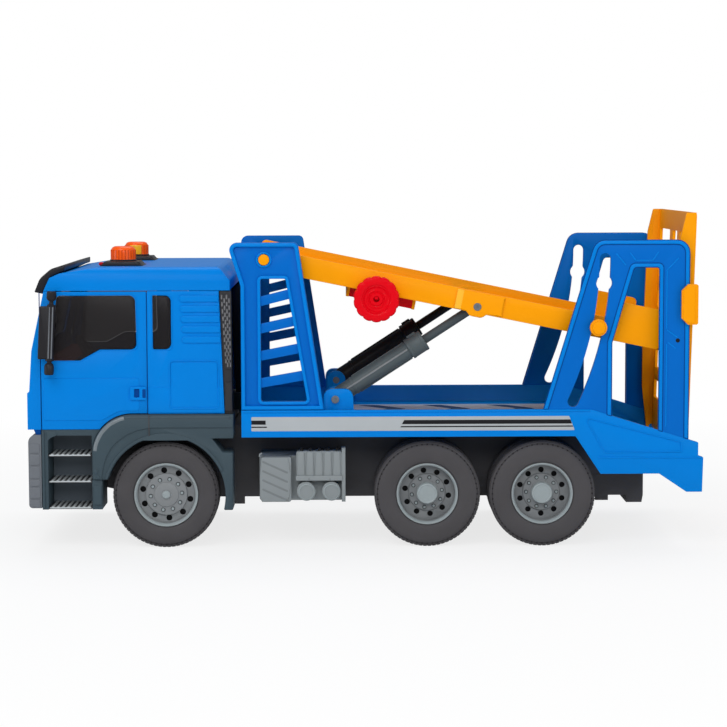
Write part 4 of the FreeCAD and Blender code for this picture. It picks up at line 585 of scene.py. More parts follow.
for axle, data in WHEELS.items():
    body = axle + "_wheels"
    centre = (data["x"], 0, WHEEL_Z)
    rim = RIMS[data["kind"]]
    barrel = rim["barrel"]
    reach = barrel[1][0]
    holes, hole = rim["holes"]
    nuts, nut_size, nut_low, nut_high = rim["nuts"]
    pale, bright, dark, shade = [], [], [], []
    for side, way in SIDES:
        tyres, ticks = tyre_meshes(data, centre, way)
        add_piece(f"{axle}_tyre_{side}_tread", merged(tyres), TYRE, body, [f"{axle}_tyre_{side}"])
        add_piece(f"{axle}_tyre_{side}_ticks", merged(ticks), TYRE_GROOVE_SHADE, body)
        ring = [circle_loop(data["x"], WHEEL_Z, reach + 0.1, 64)]
        ring += [circle_loop(*spot, hole, 20) for spot in
                 arc((data["x"], WHEEL_Z), holes, [36 * turn + 18 + data["turn"] for turn in range(NUTS)])]
        pale.append(plate(ring, *span(way, rim["disc"] - 1.0, rim["disc"]), "y", 0.3))
        # The black disc behind the rim's holes is painted shade.
        for group, profile, steps in ((pale, barrel, 72), (pale, rim["flange"], 64), (bright, rim["cap"], 48),
                                      (bright, rim["lip"], 80),
                                      (dark, [(0, barrel[0][1] + 0.1), (reach - 0.1, barrel[0][1] + 0.1)], 48)):
            group.append(lathe([(radius, way * along) for radius, along in profile], centre, "y", steps))
        low, high = span(-way, nut_low, nut_high)
        nut = lathe([(0, low), (nut_size * 0.8, low), (nut_size, low + 0.2), (nut_size, high - 0.2),
                     (nut_size * 0.8, high), (0, high)], (0, 0, 0), "z", 12, 40)
        bright.append(ring_of(nut, NUTS, nuts, centre, RIM_BRIGHT_AND_HIGHLIGHT, data["turn"]))
        # A dark ring round each nut: painted shadow.
        floor = -way * (rim["nut_seat"] + 0.05)
        seat = lathe([(0, floor), (nut_size * 1.55, floor), (nut_size * 1.6, -way * (rim["nut_seat"] - 0.4))],
                     (0, 0, 0), "z", 16, 40)
        shade.append(ring_of(seat, NUTS, nuts, centre, RIM_PAINTED_SHADOW, data["turn"]))
    add_piece(axle + "_rim_shells", merged(pale), RIM, body, [axle + "_rims"])
    add_piece(axle + "_rim_trim", merged(bright), RIM_BRIGHT_AND_HIGHLIGHT, body)
    add_piece(axle + "_rim_hole_shade", merged(dark), INK_AND_SHADE, body)
    add_piece(axle + "_rim_nut_shadows", merged(shade), RIM_PAINTED_SHADOW, body)
    dress_node(axle + "_axle", STEEL, 0)


def leaning(spot, degrees):
    """A frame at a spot, leaning about Y."""
    return Matrix.Translation(Vector(spot) * MM) @ Matrix.Rotation(math.radians(degrees), 4, "Y")


# Cab skin

for side, _ in SIDES:
    dress_node("door_" + side, BLUE, 0.45)
    dress_node("cab_side_" + side, BLUE, 0.45)
    dress_node("door_glass_" + side, GLASS, 0.2)
dress_node("cab_front_panel", BLUE, 0.9)
dress_node("cab_roof", BLUE, 1.6)
dress_node("cab_back_panel", BLUE, 0.4)
dress_node("cab_floor", BLACK, 0.3)
dress_node("quarter_windows", GLASS, 0.2)
dress_node("back_window", GLASS, 0.2)
dress_node("windshield", GLASS, 0.2)

side_plates("door_lower_panel", [[(-212.4, 113.3), (-149.6, 113.3, 1), (-149.6, 91.6, 2), (-163, 91.6, 12),
                                  (-174.2, 85.4, 3), (-212.4, 85.4)]], 79.8, 80.45, 0.4, body="door_SIDE")
# Darker blue strips behind the door gaps: painted shade in the gaps.
side_plates("door_gap_strips", [box_loop(-214.82, -214.38, 81.0, 169.6), box_loop(-144.42, -143.98, 90.4, 169.6)],
            78.4, 79.92, 0, BLUE_SHADE_LINE)
handle_hole = box_loop(-152.8, -149.4, 100.6, 106.2, 0.5)
side_plates("door_handle", [box_loop(-155.6, -144.9, 98.8, 107.6, 1.0), handle_hole], 80.2, 81.5, 0.35,
            body="door_SIDE")
# The handle's two recesses are drawn as darker blue patches: painted shade.
side_plates("door_handle_well", [handle_hole, box_loop(-147.3, -145.1, 99.9, 106.5, 0.4)], 80.3, 80.5, 0.05,
            BLUE_SHADE_LINE, body="door_SIDE")
side_plates("door_latch_bar", [box_loop(-147.4, -145.2, 100.3, 106.1, 0.6)], 81.3, 81.62, 0.12, BLUE_SHADE_LINE,
            body="door_SIDE")
cab_ribs = []
for step in range(5):
    top = 167.9 - 6.75 * step
    left = -122.9 + 0.45 * step
    right = -93.7 - 3.2 * (top - 89.6) / 81
    cab_ribs.append([(left, top - 4.6, 2.25), (right, top - 4.6), (right, top), (left, top, 2.25)])
side_plates("cab_side_ribs", cab_ribs, 79.7, 80.9, 0.9)
side_plates("cab_side_low_panel", [[(-143.3, 107.2), (-95.4, 107.2), (-94.5, 90.4), (-143.3, 90.4)]], 79.8, 80.25,
            0.2)
hatch = box_loop(-129.8, -96.9, 92.6, 125.0, 2.6)
side_plates("cab_hatch_line", [hatch, inset(hatch, 0.9)], 79.9, 80.55)
side_plates("cab_hatch_lid", [inset(hatch, 1.3)], 79.9, 80.4, 0.2)
window = [(-140.5, 132.0, 2.2), (-128.0, 132.0, 2.2), (-128.0, 167.9, 3.2), (-140.5, 167.9, 0.8)]
side_plates("quarter_window_lip", [inset(window, -0.6), window], 79.8, 80.3, 0.25)
door_window = [(-207.9, 124.8, 1.0), (-203.4, 167.9, 3), (-151.5, 167.9, 4), (-150.7, 132.0, 3), (-175.2, 132.0, 4),
               (-188.4, 124.8, 4)]
side_plates("door_window_lip", [inset(door_window, -0.6), door_window], 79.8, 80.35, 0.25, body="door_SIDE")

tilted = leaning((-220.1, 0, 131.5), 3.86) @ Matrix.Translation(Vector((220.1, 0, -131.5)) * MM)
add_piece("front_badge_panel", plate([box_loop(-66, 66, 106.5, 129.0, 3)], -220.9, -219.9, "x", 0.45, tilted),
          BLUE, "truck")
dress_node("grille", BLACK, 0.5)
grille_slats = [box_loop(-42.0, 42.0, low, low + 2.8, 1.2) for low in (86.2, 92.1, 98.0)]
add_piece("grille_slats", plate(grille_slats, -223.35, -222.6, "x", 0.35), DARK, "truck")
for side, way in SIDES:
    arm = [(-219.9, way * 8, 133.6), (-219.2, way * 10, 137.5), (-217.3, way * 36, 144.2)]
    blade = [(-218.0, way * 12, 141.2), (-217.6, way * 56, 143.2)]
    add_piece("wiper_arm_" + side, tube(arm, 0.75), BLACK, "truck")
    add_piece("wiper_blade_" + side, tube(blade, 0.6), BLACK, "truck")


# Roof fittings

BEACON_X, BEACON_Y = -162.4, 46.5
dress_node("sun_visor", VISOR, 0.7)
dress_node("beacon_bases", VISOR, 0.5)
for side, way in SIDES:
    spot = (BEACON_X, way * BEACON_Y, 0)
    shell = [(0, 189.1), (8, 189.1), (8.3, 189.5), (8.2, 195.6), (7.9, 197.2), (7, 198.4), (5.6, 199), (0, 199.1)]
    rib = block((-0.5, -0.42, 189.8), (0.36, 0.42, 196.8), 0.2)
    stand = [(-176.4, 186.2), (-148.4, 186.2), (-151.0, 189.15, 0.5), (-173.8, 189.15, 0.5)]
    collar = [(8.2, 188.9), (8.9, 188.9), (8.9, 190.0), (8.5, 190.3), (8.2, 190.3)]
    pane = [point for reach, angles in ((8.7, range(-118, -61, 8)), (7.9, range(-62, -119, -8)))
            for point in arc(spot, reach, [way * angle for angle in angles])]
    lamp = block((-178.6, spot[1] - 3.4, 186.2), (-175.6, spot[1] + 3.4, 188.3), 0.6)
    add_piece("beacon_lens_" + side, lathe(shell, spot, "z", 48), AMBER, "truck", ["beacons"])
    # The lens ribs are a darker amber: painted shade.
    add_piece("beacon_ribs_" + side, ring_of(rib, 24, 8.1, spot, AMBER_RIB_SHADE, 0, "z"), AMBER_RIB_SHADE, "truck")
    add_piece("beacon_stand_" + side, plate([stand], *span(way, 34.5, 58.5), "y", 0.6), VISOR, "truck")
    add_piece("beacon_collar_" + side, lathe(collar, spot, "z", 48), VISOR, "truck")
    add_piece("beacon_pane_" + side, plate([pane], 190.4, 196.8, "z", 0.2), AMBER_PALE, "truck")
    add_piece("roof_lamp_" + side, lamp, TAIL_RED, "truck")

dress_node("air_intakes", INTAKE, 0.4)
octagon = arc((0, 0), 1, [45 * i + 22.5 for i in range(8)])
slots = []
for column in range(4):
    for row in range(10):
        height = 166.6 - 4.7 * row - 2.35 * (column % 2)
        middle = -94.9 + 1.62 * column + 0.062 * (166.6 - height) * (1 - column / 4)
        slots.append([(middle + 0.55 * a, height + math.copysign(1.15, b) + 0.45 * b) for a, b in octagon])
side_plates("intake_screen", [[(-96.1, 170.2), (-88.5, 170.2), (-88.5, 119.0), (-93.2, 119.0)], *slots],
            79.3, 80.1, 0.12, INTAKE)
# The grey behind the intake's holes is a painted highlight on their rims.
side_plates("intake_hole_highlight", [[(-95.6, 169.6), (-89.0, 169.6), (-89.0, 120.0), (-92.9, 120.0)]],
            79.2, 79.5, 0.05, INTAKE_HIGHLIGHT)
side_plates("intake_box", [box_loop(-93.0, -88.5, 91.2, 110.2, 0.6)], 79.2, 80.3, 0.3, INTAKE)


# Mirrors: a flat head, a ribbed round stem and the two clamps

for side, way in SIDES:
    head = [(-215.0, 126.6, 0.8), (-207.2, 126.6, 0.6), (-205.6, 161.3, 0.6), (-213.3, 161.3, 0.8)]
    stem = [(0, -27.6), (2.6, -27.6), (3.15, -26.8), (3.2, -21.8), (2.6, -20.6), (1.5, -19.8), (1.5, -18.9),
            (2.7, -18.4), (2.75, 18.2), (1.6, 18.8), (1.4, 19.6), (1.4, 20.6), (2.7, 21.6), (3.2, 22.8),
            (3.15, 26.3), (2.6, 27.2), (0, 27.2)]
    lean = leaning((-206.6, way * 86.7, 143.9), 2.8)
    column = lathe(stem, (0, 0, 0), "z", 28)
    column.transform(lean)
    parts = [plate([head], *span(way, 84.0, 88.9), "y", 0.8), column]
    for height in (-24.0, 24.6):
        at = lean @ Vector((0, 0, height * MM)) / MM
        parts.append(tube([at, (at.x, way * 79.9, at.z)], 1.7))
    # Two lighter strips down the stem: painted highlights.
    stem_highlights = [plate([stroke((-207.9 + 1.9 * step, 127.4), (-206.3 + 1.9 * step, 160.5), 0.9)],
                    *span(way, 89.0 - 0.12 * step, 89.4 - 0.12 * step), "y", 0.15) for step in range(2)]
    add_piece("mirror_body_" + side, merged(parts), VISOR, "door_" + side, ["mirror_" + side])
    add_piece("mirror_stem_highlights_" + side, merged(stem_highlights), DARK, "door_" + side)


# Mudguards, steps and bumper

for side, _ in SIDES:
    dress_node("mudguard_" + side, SLATE, 0.9)
    dress_node("step_" + side, SLATE, 0.6)
crease = [(-142.0, 80.5), (-151.4, 78.8), (-158.2, 75.7), (-163.8, 71.9), (-168.2, 67.2), (-171.3, 61.8),
          (-173.3, 56.0), (-174.4, 50.5), (-174.8, 46.4)]
side_plates("mudguard_band", [[(-178.5, 46.4), (-178.5, 86.8, 24.3), (-87.9, 86.8), (-87.9, 80.5), *crease]],
            81.6, 82.8, 0.4, SLATE)
# The bend of the mudguard's round edge is lighter slate, a painted highlight. The ends keep the plain slate.
bend = arc((-154.5, 62.8), 24.2, range(180, 89, -6))
for side, way in SIDES:
    edge = [(x, way * 80.7, z) for x, z in ((-178.7, 46.8), *bend, (-90.4, 87.0))]
    ends = merged([tube(edge[:3], 2.1, 10), tube(edge[-4:], 2.1, 10)])
    add_piece("mudguard_edge_" + side, ends, SLATE, "truck")
    add_piece("mudguard_bead_highlight_" + side, tube(edge[2:-3], 2.15, 10), SLATE_HIGHLIGHT, "truck")
side_plates("mudguard_seam", [stroke((-143.2, 75.6), (-143.2, 88.8), 0.6)], 81.9, 83.0, 0.1, BLACK)
front_wheel = (WHEELS["front"]["x"], WHEEL_Z)
lip = [arc(front_wheel, min(39.9, 36.9 / math.sin(math.radians(angle))), [angle])[0]
       for angle in range(164, 23, -4)]
lip += arc(front_wheel, 41.7, range(24, 165, 4))
side_plates("mudguard_lip", [lip], 81.7, 82.5, 0.3, SLATE)
side_plates("mudguard_bolt", [circle_loop(-178.6, 51.5, 1.5), circle_loop(-176.9, 47.8, 1.1)], 81.8, 83.3, 0.4,
            SLATE)

dress_node("step_treads", BLACK, 0.15)
for side, way in SIDES:
    treads = []
    low, high = span(way, 54.0, 80.2)
    edge_low, edge_high = span(way, 79.6, 80.5)
    for top in (27.6, 45.1, 62.6):
        rib = block((-0.85, low, -0.5), (0.85, high, 0.45), 0.15)
        treads.append(field_of(rib, 8, 1, (3.42, 0, 0), (0, 0, 0), (-207.6, 0, top), SILVER))
        treads.append(block((-209.4, edge_low, top - 0.75), (-182.2, edge_high, top + 0.1), 0.2))
    # The steps' back wall is slate made lighter: painted light in the shaded recess.
    low, high = span(way, 53.2, 54.2)
    wall = block((-210.2, low, 27.0), (-182.0, high, 74.8), 0.2)
    add_piece("tread_ribs_" + side, merged(treads), SILVER, "truck")
    add_piece("step_back_wall_" + side, wall, SLATE_LIT, "truck")
side_plates("step_post_bead", [stroke((-213.4, 27.6), (-213.4, 77.6), 1.8)], 79.7, 80.9, 0.5, SLATE)
side_plates("step_bracket", [[(-211, 78.4, 0.6), (-204.2, 78.4, 1.6), (-204.8, 75.2, 1.2), (-208.8, 73.6, 1.4),
                              (-211, 70.6, 0.6)]], 78.6, 80.4, 0.4, SLATE)
side_plates("step_foot_block", [box_loop(-180.6, -175.2, 29.0, 41.8, 0.8)], 79.6, 80.9, 0.45, SLATE)

dress_node("bumper", DARK, 1.8)
bumper_breaks = (27.6, 33.2, 41.5, 46.6, 55.4, 63.5, 70.5)
side_plates("bumper_panels", [box_loop(-222.7, -215.4, low + 0.3, high - 0.3, 1.6)
                              for low, high in zip(bumper_breaks, bumper_breaks[1:])],
            80.4, 81.5, 0.5, DARK)
# The little tab under the cab front is darker blue: painted shade behind the bumper.
side_plates("nose_bracket", [[(-219.6, 79.6), (-214.8, 79.6), (-214.8, 74.8), (-217.6, 74.8)]], 76.0, 79.6, 0.3,
            BLUE_SHADE_LINE)
dress_node("headlamps", LENS, 0.4)
bowl = [(5.3, -219.8), (5.6, -220.3), (5.3, -220.6), (4.8, -220.4), (3.4, -219.2), (1.6, -218.5), (0, -218.4)]
bowls = [lathe(bowl, (0, y, 59), "x", 36) for y in (-55.9, -68.0, 55.9, 68.0)]
add_piece("headlamp_bowls", merged(bowls), SILVER, "truck")
air_slots = [box_loop(-46, 46, low, low + 2.8, 1.2) for low in (34.0, 39.4, 44.8)]
add_piece("bumper_air_slots", plate(air_slots, -223.3, -222.6, "x", 0.3), BLACK, "truck")


# Gantry side frames and rear hoops

gantry = [(-82.1, 92.4), (-82.1, 173.9, 2), (-91.0, 202.0, 4.7), (-44.8, 202.0, 4), (-28.0, 92.4)]
gantry_window = [(-69.2, 97.7, 1.5), (-69.2, 178.5, 1.2), (-52.8, 178.5, 1.2), (-38.9, 97.7, 1.5)]
for side, _ in SIDES:
    # The gantry and hoop faces take the darker blue: painted shade.
    dress_node("gantry_" + side, BLUE_SHADED, 0.6)
    dress_node("hoop_" + side, BLUE_SHADED, 0.6)
dress_node("gantry_front", BLUE, 0.5)
side_plates("gantry_rim", [gantry, inset(gantry, 2.5)], 81.8, 84.7, 0.8)
side_plates("gantry_window_rim", [inset(gantry_window, -2.1), gantry_window], 82.0, 83.8, 0.6)
side_lathes("gantry_pin_ring", [(3.9, 82.2), (3.9, 83.3), (4.4, 83.8), (5.0, 83.5), (5.3, 82.2)], (-66.9, 191.0),
            BLUE)
hoop_rim = [(116.9, 92.3), (150.7, 202.9, 8), (211.9, 202.9, 8), (211.9, 72.4), (209.5, 73.0), (209.5, 200.5, 5.6),
            (152.5, 200.5, 5.6), (119.5, 92.3)]
window_rim = [(158.7, 88.5), (158.7, 136.2, 1), (173.8, 187.9, 4), (194.9, 187.9, 3), (194.9, 77.3), (192.7, 78.0),
              (192.7, 185.6, 2), (175.6, 185.6, 3), (161.2, 135.9, 1), (161.2, 87.8)]
side_plates("hoop_rim", [hoop_rim], 83.0, 84.8, 0.7)
side_plates("hoop_window_rim", [window_rim], 83.0, 84.75, 0.6)
# Thin darker lines beside the hoop rims: painted shade.
side_plates("hoop_rim_shade_line", [inset(hoop_rim, -0.55)], 83.9, 84.07, 0.02, BLUE_SHADE_LINE)
side_plates("hoop_window_rim_shade_line", [inset(window_rim, -0.55)], 83.9, 84.07, 0.02, BLUE_SHADE_LINE)
lines = [((164.1, 194.2), (170.1, 187.0)), ((204.7, 191.3), (197.2, 183.3)), ((173.1, 194.7), (176.7, 190.0)),
         ((176.7, 190.0), (187.9, 190.0)), ((187.9, 190.0), (191.5, 195.2)), ((197.8, 144.0), (204.4, 139.3)),
         ((198.4, 135.8), (203.2, 132.2)), ((197.3, 182.8), (197.3, 145.0)), ((197.3, 134.6), (197.3, 80.6))]
for index, (start, end) in enumerate(lines):
    side_plates(f"hoop_line_{index}", [stroke(start, end, 0.8)], 83.9, 84.35, 0.2)
# A black disc for the screw hole: painted shade.
side_plates("hoop_screw_hole_shade", [circle_loop(204.7, 137.2, 1.4)], 83.9, 84.12, 0.05, INK_AND_SHADE)


# Lower deck, its strip and its floor

dress_node("lower_deck", BLUE, 0.5)
skirt = [(143.2, 87.3, 2), (208.0, 70.5, 2), (208.7, 63.2, 1.5), (156.6, 62.9, 3)]
side_plates("skirt_panel_line", [skirt, inset(skirt, 0.9)], 83.9, 84.5, 0.28)
side_plates("skirt_crease", [stroke((153.0, 59.9), (221.4, 59.5), 0.8)], 83.9, 84.4, 0.2)
side_plates("deck_top_edge", [stroke((-80.6, 91.2), (147.0, 91.2), 1.5)], 83.8, 84.5, 0.35)
side_plates("side_strip", [[(-75.7, 78.2, 0.5), (137.3, 78.2, 0.5), (133.6, 87.6, 0.5), (-75.7, 87.6, 0.5)]],
            83.95, 84.1, 0.03, STRIP)
bands = [box_loop(-75.7, -66.3, 82.6, 85.3), box_loop(-75.7, -65.6, 80.5, 81.3),
         [(23.4, 82.6), (135.4, 82.6), (134.5, 85.3), (24.9, 85.3)],
         [(22.3, 80.5), (136.3, 80.5), (136.0, 81.3), (22.9, 81.3)]]
side_plates("side_strip_bands", bands, 84.05, 84.18, 0.02, INK_AND_SHADE)
# The floor sheet's bluish tint is a painted reflection of the blue rails.
add_piece("deck_floor_panel", plate([box_loop(-56, 134, -60, 60, 3)], 79.95, 80.2, "z", 0.05), FLOOR_SILVER_AND_REFLECTION,
          "truck")
arrow = plate([[(0, 0), (13, 0), (33, 24), (13, 48), (0, 48), (20, 24)]], 80.15, 80.3, "z", 0.03)
arrows = field_of(arrow, 4, 2, (46, 0, 0), (0, 60, 0), (-50, -54, 0), NAVY)
add_piece("deck_floor_arrows", arrows, NAVY, "truck")
dress_node("chassis_frame", BLACK, 0.4)
dress_node("tail_lamps", TAIL_RED, 0.4)


# Upper deck, its winch and its ramp

ON_DECK = leaning((-66.9, 0, 191.0), 11.6)      # X runs along the deck from the pegs' axis
DECK_BOSS = ON_DECK @ (Vector((143.8, 0, -2.8)) * MM) / MM
LIFT_FOOT = Vector((-20.5, 0, 98.4))
LIFT_WAY = Vector((0.8389, 0, 0.5443))
dress_node("upper_deck", ORANGE, 0.6)
dress_node("deck_pegs", ORANGE, 0.5)
pad = [(128.8, 6.6, 0.5), (128.8, -6.6, 0.5), (137.0, -6.9, 1), (139.6, -9.6, 4), (148.0, -9.6, 4),
       (150.6, -6.9, 1), (161.0, -6.6, 0.5), (161.0, 6.6, 0.5)]
side_plates("deck_boss_pad", [pad], 76.2, 77.9, 1.1, ORANGE, "upper_deck", ON_DECK)
side_plates("deck_boss_end", [box_loop(128.9, 133.3, -6.4, 6.4)], 77.2, 78.0, 0.4, ORANGE_PALE,
            "upper_deck", ON_DECK)
for side, way in SIDES:
    for name, at, body in (("deck", DECK_BOSS, "upper_deck"), ("lug", LIFT_FOOT, "truck")):
        head = [(radius, way * along) for radius, along in
                ((2.6, 77.5), (2.6, 78.2), (2.2, 78.5), (0.9, 78.5), (0.7, 78.1), (0, 78.1))]
        add_piece(f"{name}_pin_head_{side}", lathe(head, (at.x, 0, at.z), "y", 28), DARK, body)
floor = plate([box_loop(14, 255, -63, 63, 3)], -1.02, -0.8, "z", 0.05, ON_DECK)
lines = plate([box_loop(18, 251, -60.5, -58.0, 1), box_loop(18, 251, 58.0, 60.5, 1)], -0.85, -0.7, "z", 0.03,
              ON_DECK)
slash = plate([[(0, 0), (6, 0), (14, 12), (8, 12)]], -0.85, -0.7, "z", 0.03, ON_DECK)
turn = ON_DECK.to_3x3()
slashes = field_of(slash, 13, 3, turn @ Vector((17.5, 0, 0)), (0, 34, 0), turn @ Vector((20, -40, 0)), STRIP)
add_piece("upper_floor_panel", floor, INK_AND_SHADE, "upper_deck")
add_piece("upper_floor_lines", lines, STRIP, "upper_deck")
add_piece("upper_floor_slashes", slashes, STRIP, "upper_deck")
# The winch box under the deck is the darker red: painted shade.
dress_node("winch_box", RED_SHADED, 0.6)

KNOB = (6.8, 165.0)
knob_axis = (KNOB[0], 0, KNOB[1])
flutes = []
for turn in (360 * i / 168 for i in range(168)):
    dip = 1 - abs(math.sin(7 * math.radians(turn))) ** 0.55
    flutes += arc(KNOB, 15.15 - 0.85 * dip, [turn])
face = [(9.3, -85.9), (8.6, -86.0), (8.2, -85.5), (7.6, -85.0), (6.6, -84.9), (6.1, -85.2), (5.6, -85.2),
        (5.2, -84.8), (4.6, -84.7), (4.3, -85.0), (4.3, -85.4), (4.0, -85.7), (2.1, -85.7), (1.9, -85.4),
        (1.9, -81.5), (0, -81.5)]
stem = [(9.2, -78.4), (5.4, -77.6), (4.6, -77.4), (4.6, -62), (3.4, -61.8), (3.4, -31.4), (0, -31.4)]
knob = [plate([flutes, circle_loop(*KNOB, 9.0, 48)], -86.9, -77.6, "y", 1.5), lathe(face, knob_axis, "y", 56),
        lathe(stem, knob_axis, "y", 40)]
key = block((KNOB[0] - 1.3, -84.9, KNOB[1] - 0.2), (KNOB[0] + 1.3, -81.4, KNOB[1] + 1.7), 0.2)
# The darker red disc at the bottom of the knob's hole is painted shade.
hole = lathe([(1.85, -82.2), (1.6, -81.9), (0, -81.9)], knob_axis, "y", 24)
add_piece("winch_knob_grip", merged(knob), RED, "winch_knob", ["winch_knob"])
add_piece("winch_knob_key", key, RED, "winch_knob")
add_piece("winch_knob_hole_shade", hole, RED_SHADED, "winch_knob")

for side, way in SIDES:
    # The far cylinder, barrel and rod, is all in the near-black plastic: painted shade.
    barrel, rod, highlight_finish = (GREY, ROD_NEAR, RIM) if side == "left" else (CYLINDER_SHADED, CYLINDER_SHADED, CYLINDER_SHADED)
    dress_node("lift_barrel_" + side, barrel, 0.3)
    dress_node("lift_rod_" + side, rod, 0.25)
    foot = Matrix.Translation((LIFT_FOOT + Vector((0, way * 64.5, 0))) * MM)
    place = foot @ LIFT_WAY.to_track_quat("Z", "Y").to_matrix().to_4x4()
    # A lighter band along the near barrel: a painted highlight. On the far barrel the band is as dark as the barrel.
    highlight_band = block((way * 5.5 - 0.75, 0.5, 3.0), (way * 5.5 + 0.75, 1.7, 58.0), 0.3)
    collar = [lathe([(5.7, 14.0), (6.2, 14.2), (6.2, 15.6), (5.7, 15.8)], (0, 0, 0), "z", 40),
              lathe([(6.9, 58.6), (7.2, 58.9), (7.2, 60.3), (6.95, 60.7), (6.95, 68.3), (7.2, 68.7), (7.15, 70.1),
                     (6.4, 70.6), (3.4, 70.7)], (0, 0, 0), "z", 40),
              block((-1.5, 5.55, 16.5), (1.5, 6.35, 57.6), 0.3), block((-1.5, -6.35, 16.5), (1.5, -5.55, 57.6), 0.3),
              block((-0.9, 6.4, 61.4), (0.9, 8.2, 68.0), 0.4)]
    for part in (highlight_band, *collar):
        part.transform(place)
    add_piece("lift_highlight_band_" + side, highlight_band, highlight_finish, "lift_barrel_" + side)
    add_piece("lift_collar_" + side, merged(collar), barrel, "lift_barrel_" + side)
side_plates("lift_inner_lug", [[(-27.2, 80.1), (-13.8, 80.1), (-13.8, 105.1, 6.6), (-27.2, 105.1, 6.6)]],
            55.6, 57.8, 0.5)
side_lathes("lift_inner_pin", [(2.4, 55.7), (2.4, 55.3), (1.9, 55.1), (0, 55.1)], (-20.5, 98.4), DARK)

dress_node("loading_ramp", ORANGE, 0.5)
latch = [(206.7, 150.4, 1.2), (210.5, 147.9, 1), (216.1, 147.9, 0.8), (216.1, 174.1, 0.8), (209.9, 174.1, 1),
         (206.7, 170.6, 1.2)]
side_plates("latch_face", [inset(latch, 0.8)], 87.6, 88.7, 0.5, ORANGE, "loading_ramp")


# Side equipment

for side, _ in SIDES:
    dress_node("equipment_" + side, PALE, 0.4)
battery = [(-69.2, 30.4), (-52.8, 30.4), (-51.0, 34.2), (-50.0, 47.6), (-51.9, 60.1), (-69.2, 60.1), (-70.7, 47.6),
           (-70.6, 34.2)]
chest = [[(-46.0 + 5.95 * step, 47.9), (-40.8 + 5.95 * step, 47.9), (-41.0 + 5.9 * step, 63.8, 0.4),
          (-45.6 + 5.9 * step, 63.8, 0.4)] for step in range(5)]
hook = [(-71.4, 60.4), (-70.4, 60.4), (-70.2, 61.6), (-68.9, 62.4), (-69.1, 63.2), (-71.0, 62.4)]
bracket = [(-16.2, 31.0), (-13.9, 33.4), (-13.9, 65.6), (-16.2, 66.0)]
# The battery box grooves and the chest feet are a darker grey: painted shade.
for name, loops, inner, outer, bevel, finish in (
        ("battery_box_face", [battery], 77.4, 78.9, 0.5, PALE),
        ("battery_box_grooves", [stroke((-68.4, 57.2 - 6.15 * step), (-52.6, 50.0 - 6.15 * step), 1.35)
                                 for step in range(4)], 78.7, 79.0, 0.1, PALE_SHADE),
        ("chest_panels", chest, 77.6, 78.8, 0.5, PALE),
        ("chest_flange", [box_loop(-46.8, -15.9, 44.5, 48.0, 0.3)], 76.6, 79.3, 0.35, PALE),
        ("chest_feet", [box_loop(left, left + 0.8, 44.6, 46.4) for left in (-38.4, -24.6)], 79.1, 79.4, 0.1,
         PALE_SHADE),
        ("chest_knobs", [circle_loop(-43.0 + 5.9 * step, 64.6, 1.1, 12) for step in range(5)], 72.0, 76.0, 0.3, INK_AND_SHADE),
        ("battery_hook", [hook], 76.0, 77.4, 0.2, PALE)):
    side_plates(name, loops, inner, outer, bevel, finish)
for index, x in enumerate((-39.7, -23.1)):
    side_lathes(f"tank_cap_{index}", [(5.1, 77.4), (5.0, 78.5), (0, 78.5)], (x, 36.9), PALE)
    # A lighter ring on each tank's chamfer: a painted highlight.
    side_lathes(f"tank_ring_{index}", [(6.0, 77.3), (5.9, 77.8), (5.1, 78.8), (4.7, 78.9), (4.6, 78.3)], (x, 36.9),
                RIM_BRIGHT_AND_HIGHLIGHT)
side_plates("equipment_bracket", [bracket], 77.6, 78.5, 0.3, PALE)


# Cab inside

# The cab inside glows a little so it shows through the dark glass: painted glow.
dress_node("cab_interior", SEAT_GLOWING, 0.8)
dress_node("steering_wheel", BLACK, 0.3)


# Camera, lamps and floor: the lamps and the floor are in metres

LAMPS = (
    ("key lamp", (-0.7, -1.3, 1.5), (0, 0, 0.08), (1.2, 1.0), 12),
    ("fill lamp", (1.2, -1.1, 0.7), (0, 0, 0.1), (1.0, 1.0), 5),
    ("front lamp", (-0.05, -1.8, 0.85), (0, 0, 0.09), (1.2, 0.5), 7),
    ("left lamp", (-1.9, -0.55, 0.4), (-0.1, 0, 0.1), (0.5, 0.9), 5),
    ("top lamp", (0.1, 0.5, 1.6), (0, 0, 0.1), (1.4, 1.0), 11),
)
WHITE = (1, 1, 1, 1)


def look(position, pitch, yaw, roll, lens):
    data = bpy.data.cameras.new("camera")
    data.lens = lens
    data.sensor_width = 36
    data.clip_end = 50
    camera = loose("camera", data)
    camera.location = Vector(position) * MM
    turn = (Matrix.Rotation(math.radians(yaw), 4, "Z") @ Matrix.Rotation(math.radians(90 - pitch), 4, "X")
            @ Matrix.Rotation(math.radians(roll), 4, "Z"))
    camera.rotation_euler = turn.to_euler()
    bpy.context.scene.camera = camera


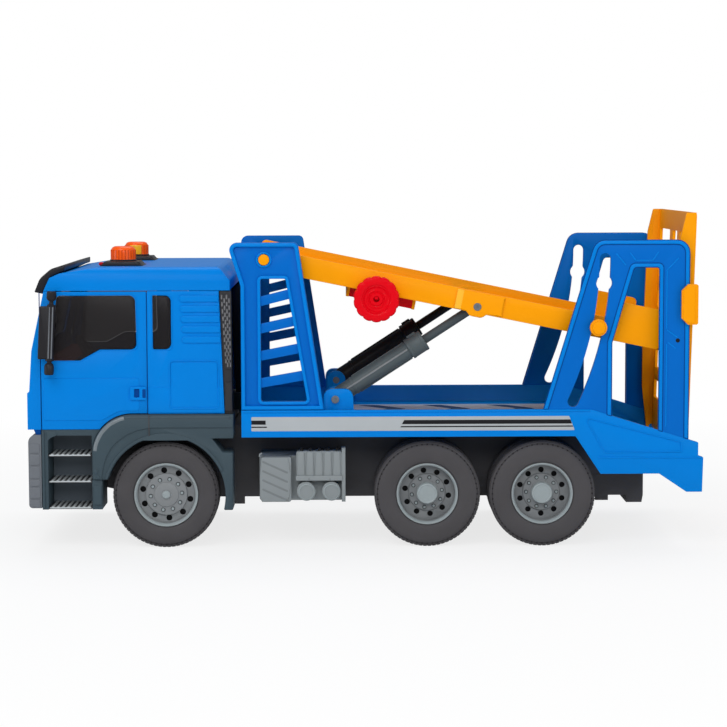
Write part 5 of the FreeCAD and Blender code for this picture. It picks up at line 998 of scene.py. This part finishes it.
def show(tree, output, camera_share, others, camera):
    """Show the camera a share of its own shader, and all other rays theirs."""
    mix = add_node(tree, "ShaderNodeMixShader", {"Fac": camera_share, 1: others, 2: camera})
    feed(tree, tree.nodes[output], {"Surface": mix})


def make_studio():
    scene = bpy.context.scene
    scene.view_settings.view_transform = "Standard"
    world = bpy.data.worlds.new("studio")
    scene.world = world
    world.use_nodes = True
    tree = world.node_tree
    sky = tree.nodes["Background"]
    feed(tree, sky, {"Color": (0.9, 0.95, 1.0, 1), "Strength": 0.3})
    white = add_node(tree, "ShaderNodeBackground", {"Color": WHITE, "Strength": 1.0})
    seen = add_node(tree, "ShaderNodeLightPath", {}, "Is Camera Ray")
    show(tree, "World Output", seen, sky.outputs[0], white)
    for name, position, target, size, power in LAMPS:
        data = bpy.data.lights.new(name, "AREA")
        data.shape = "RECTANGLE"
        data.size, data.size_y = size
        data.energy = power
        lamp = loose(name, data)
        lamp.location = position
        lamp.rotation_euler = (Vector(target) - Vector(position)).to_track_quat("-Z", "Y").to_euler()
    sheet = bmesh.new()
    bmesh.ops.create_grid(sheet, x_segments=1, y_segments=1, size=6)
    ground_piece = loose("floor", as_mesh(sheet, bpy.data.meshes.new("floor")))
    finish, tree, shader = finish_base("white floor", (0.93, 0.93, 0.93, 1), 0.6)
    glow = add_node(tree, "ShaderNodeEmission", {"Color": WHITE, "Strength": 1.0})
    coords = add_node(tree, "ShaderNodeTexCoord", {}, "Object")
    far = add_node(tree, "ShaderNodeVectorMath", {0: coords}, "Value", operation="LENGTH")
    fade = add_node(tree, "ShaderNodeMapRange",
                    {"From Min": 0.2, "From Max": 0.75, "To Min": 0.78, "To Max": 1.0, "Value": far})
    seen = add_node(tree, "ShaderNodeLightPath", {}, "Is Camera Ray")
    share = add_node(tree, "ShaderNodeMath", {0: seen, 1: fade}, operation="MULTIPLY")
    show(tree, "Material Output", share, shader.outputs[0], glow)
    ground_piece.data.materials.append(finish)
    ground_piece.visible_glossy = False


look((-12.83, -1486, 247.41), 5.08, -0.451, -0.173, 106.13)
make_studio()
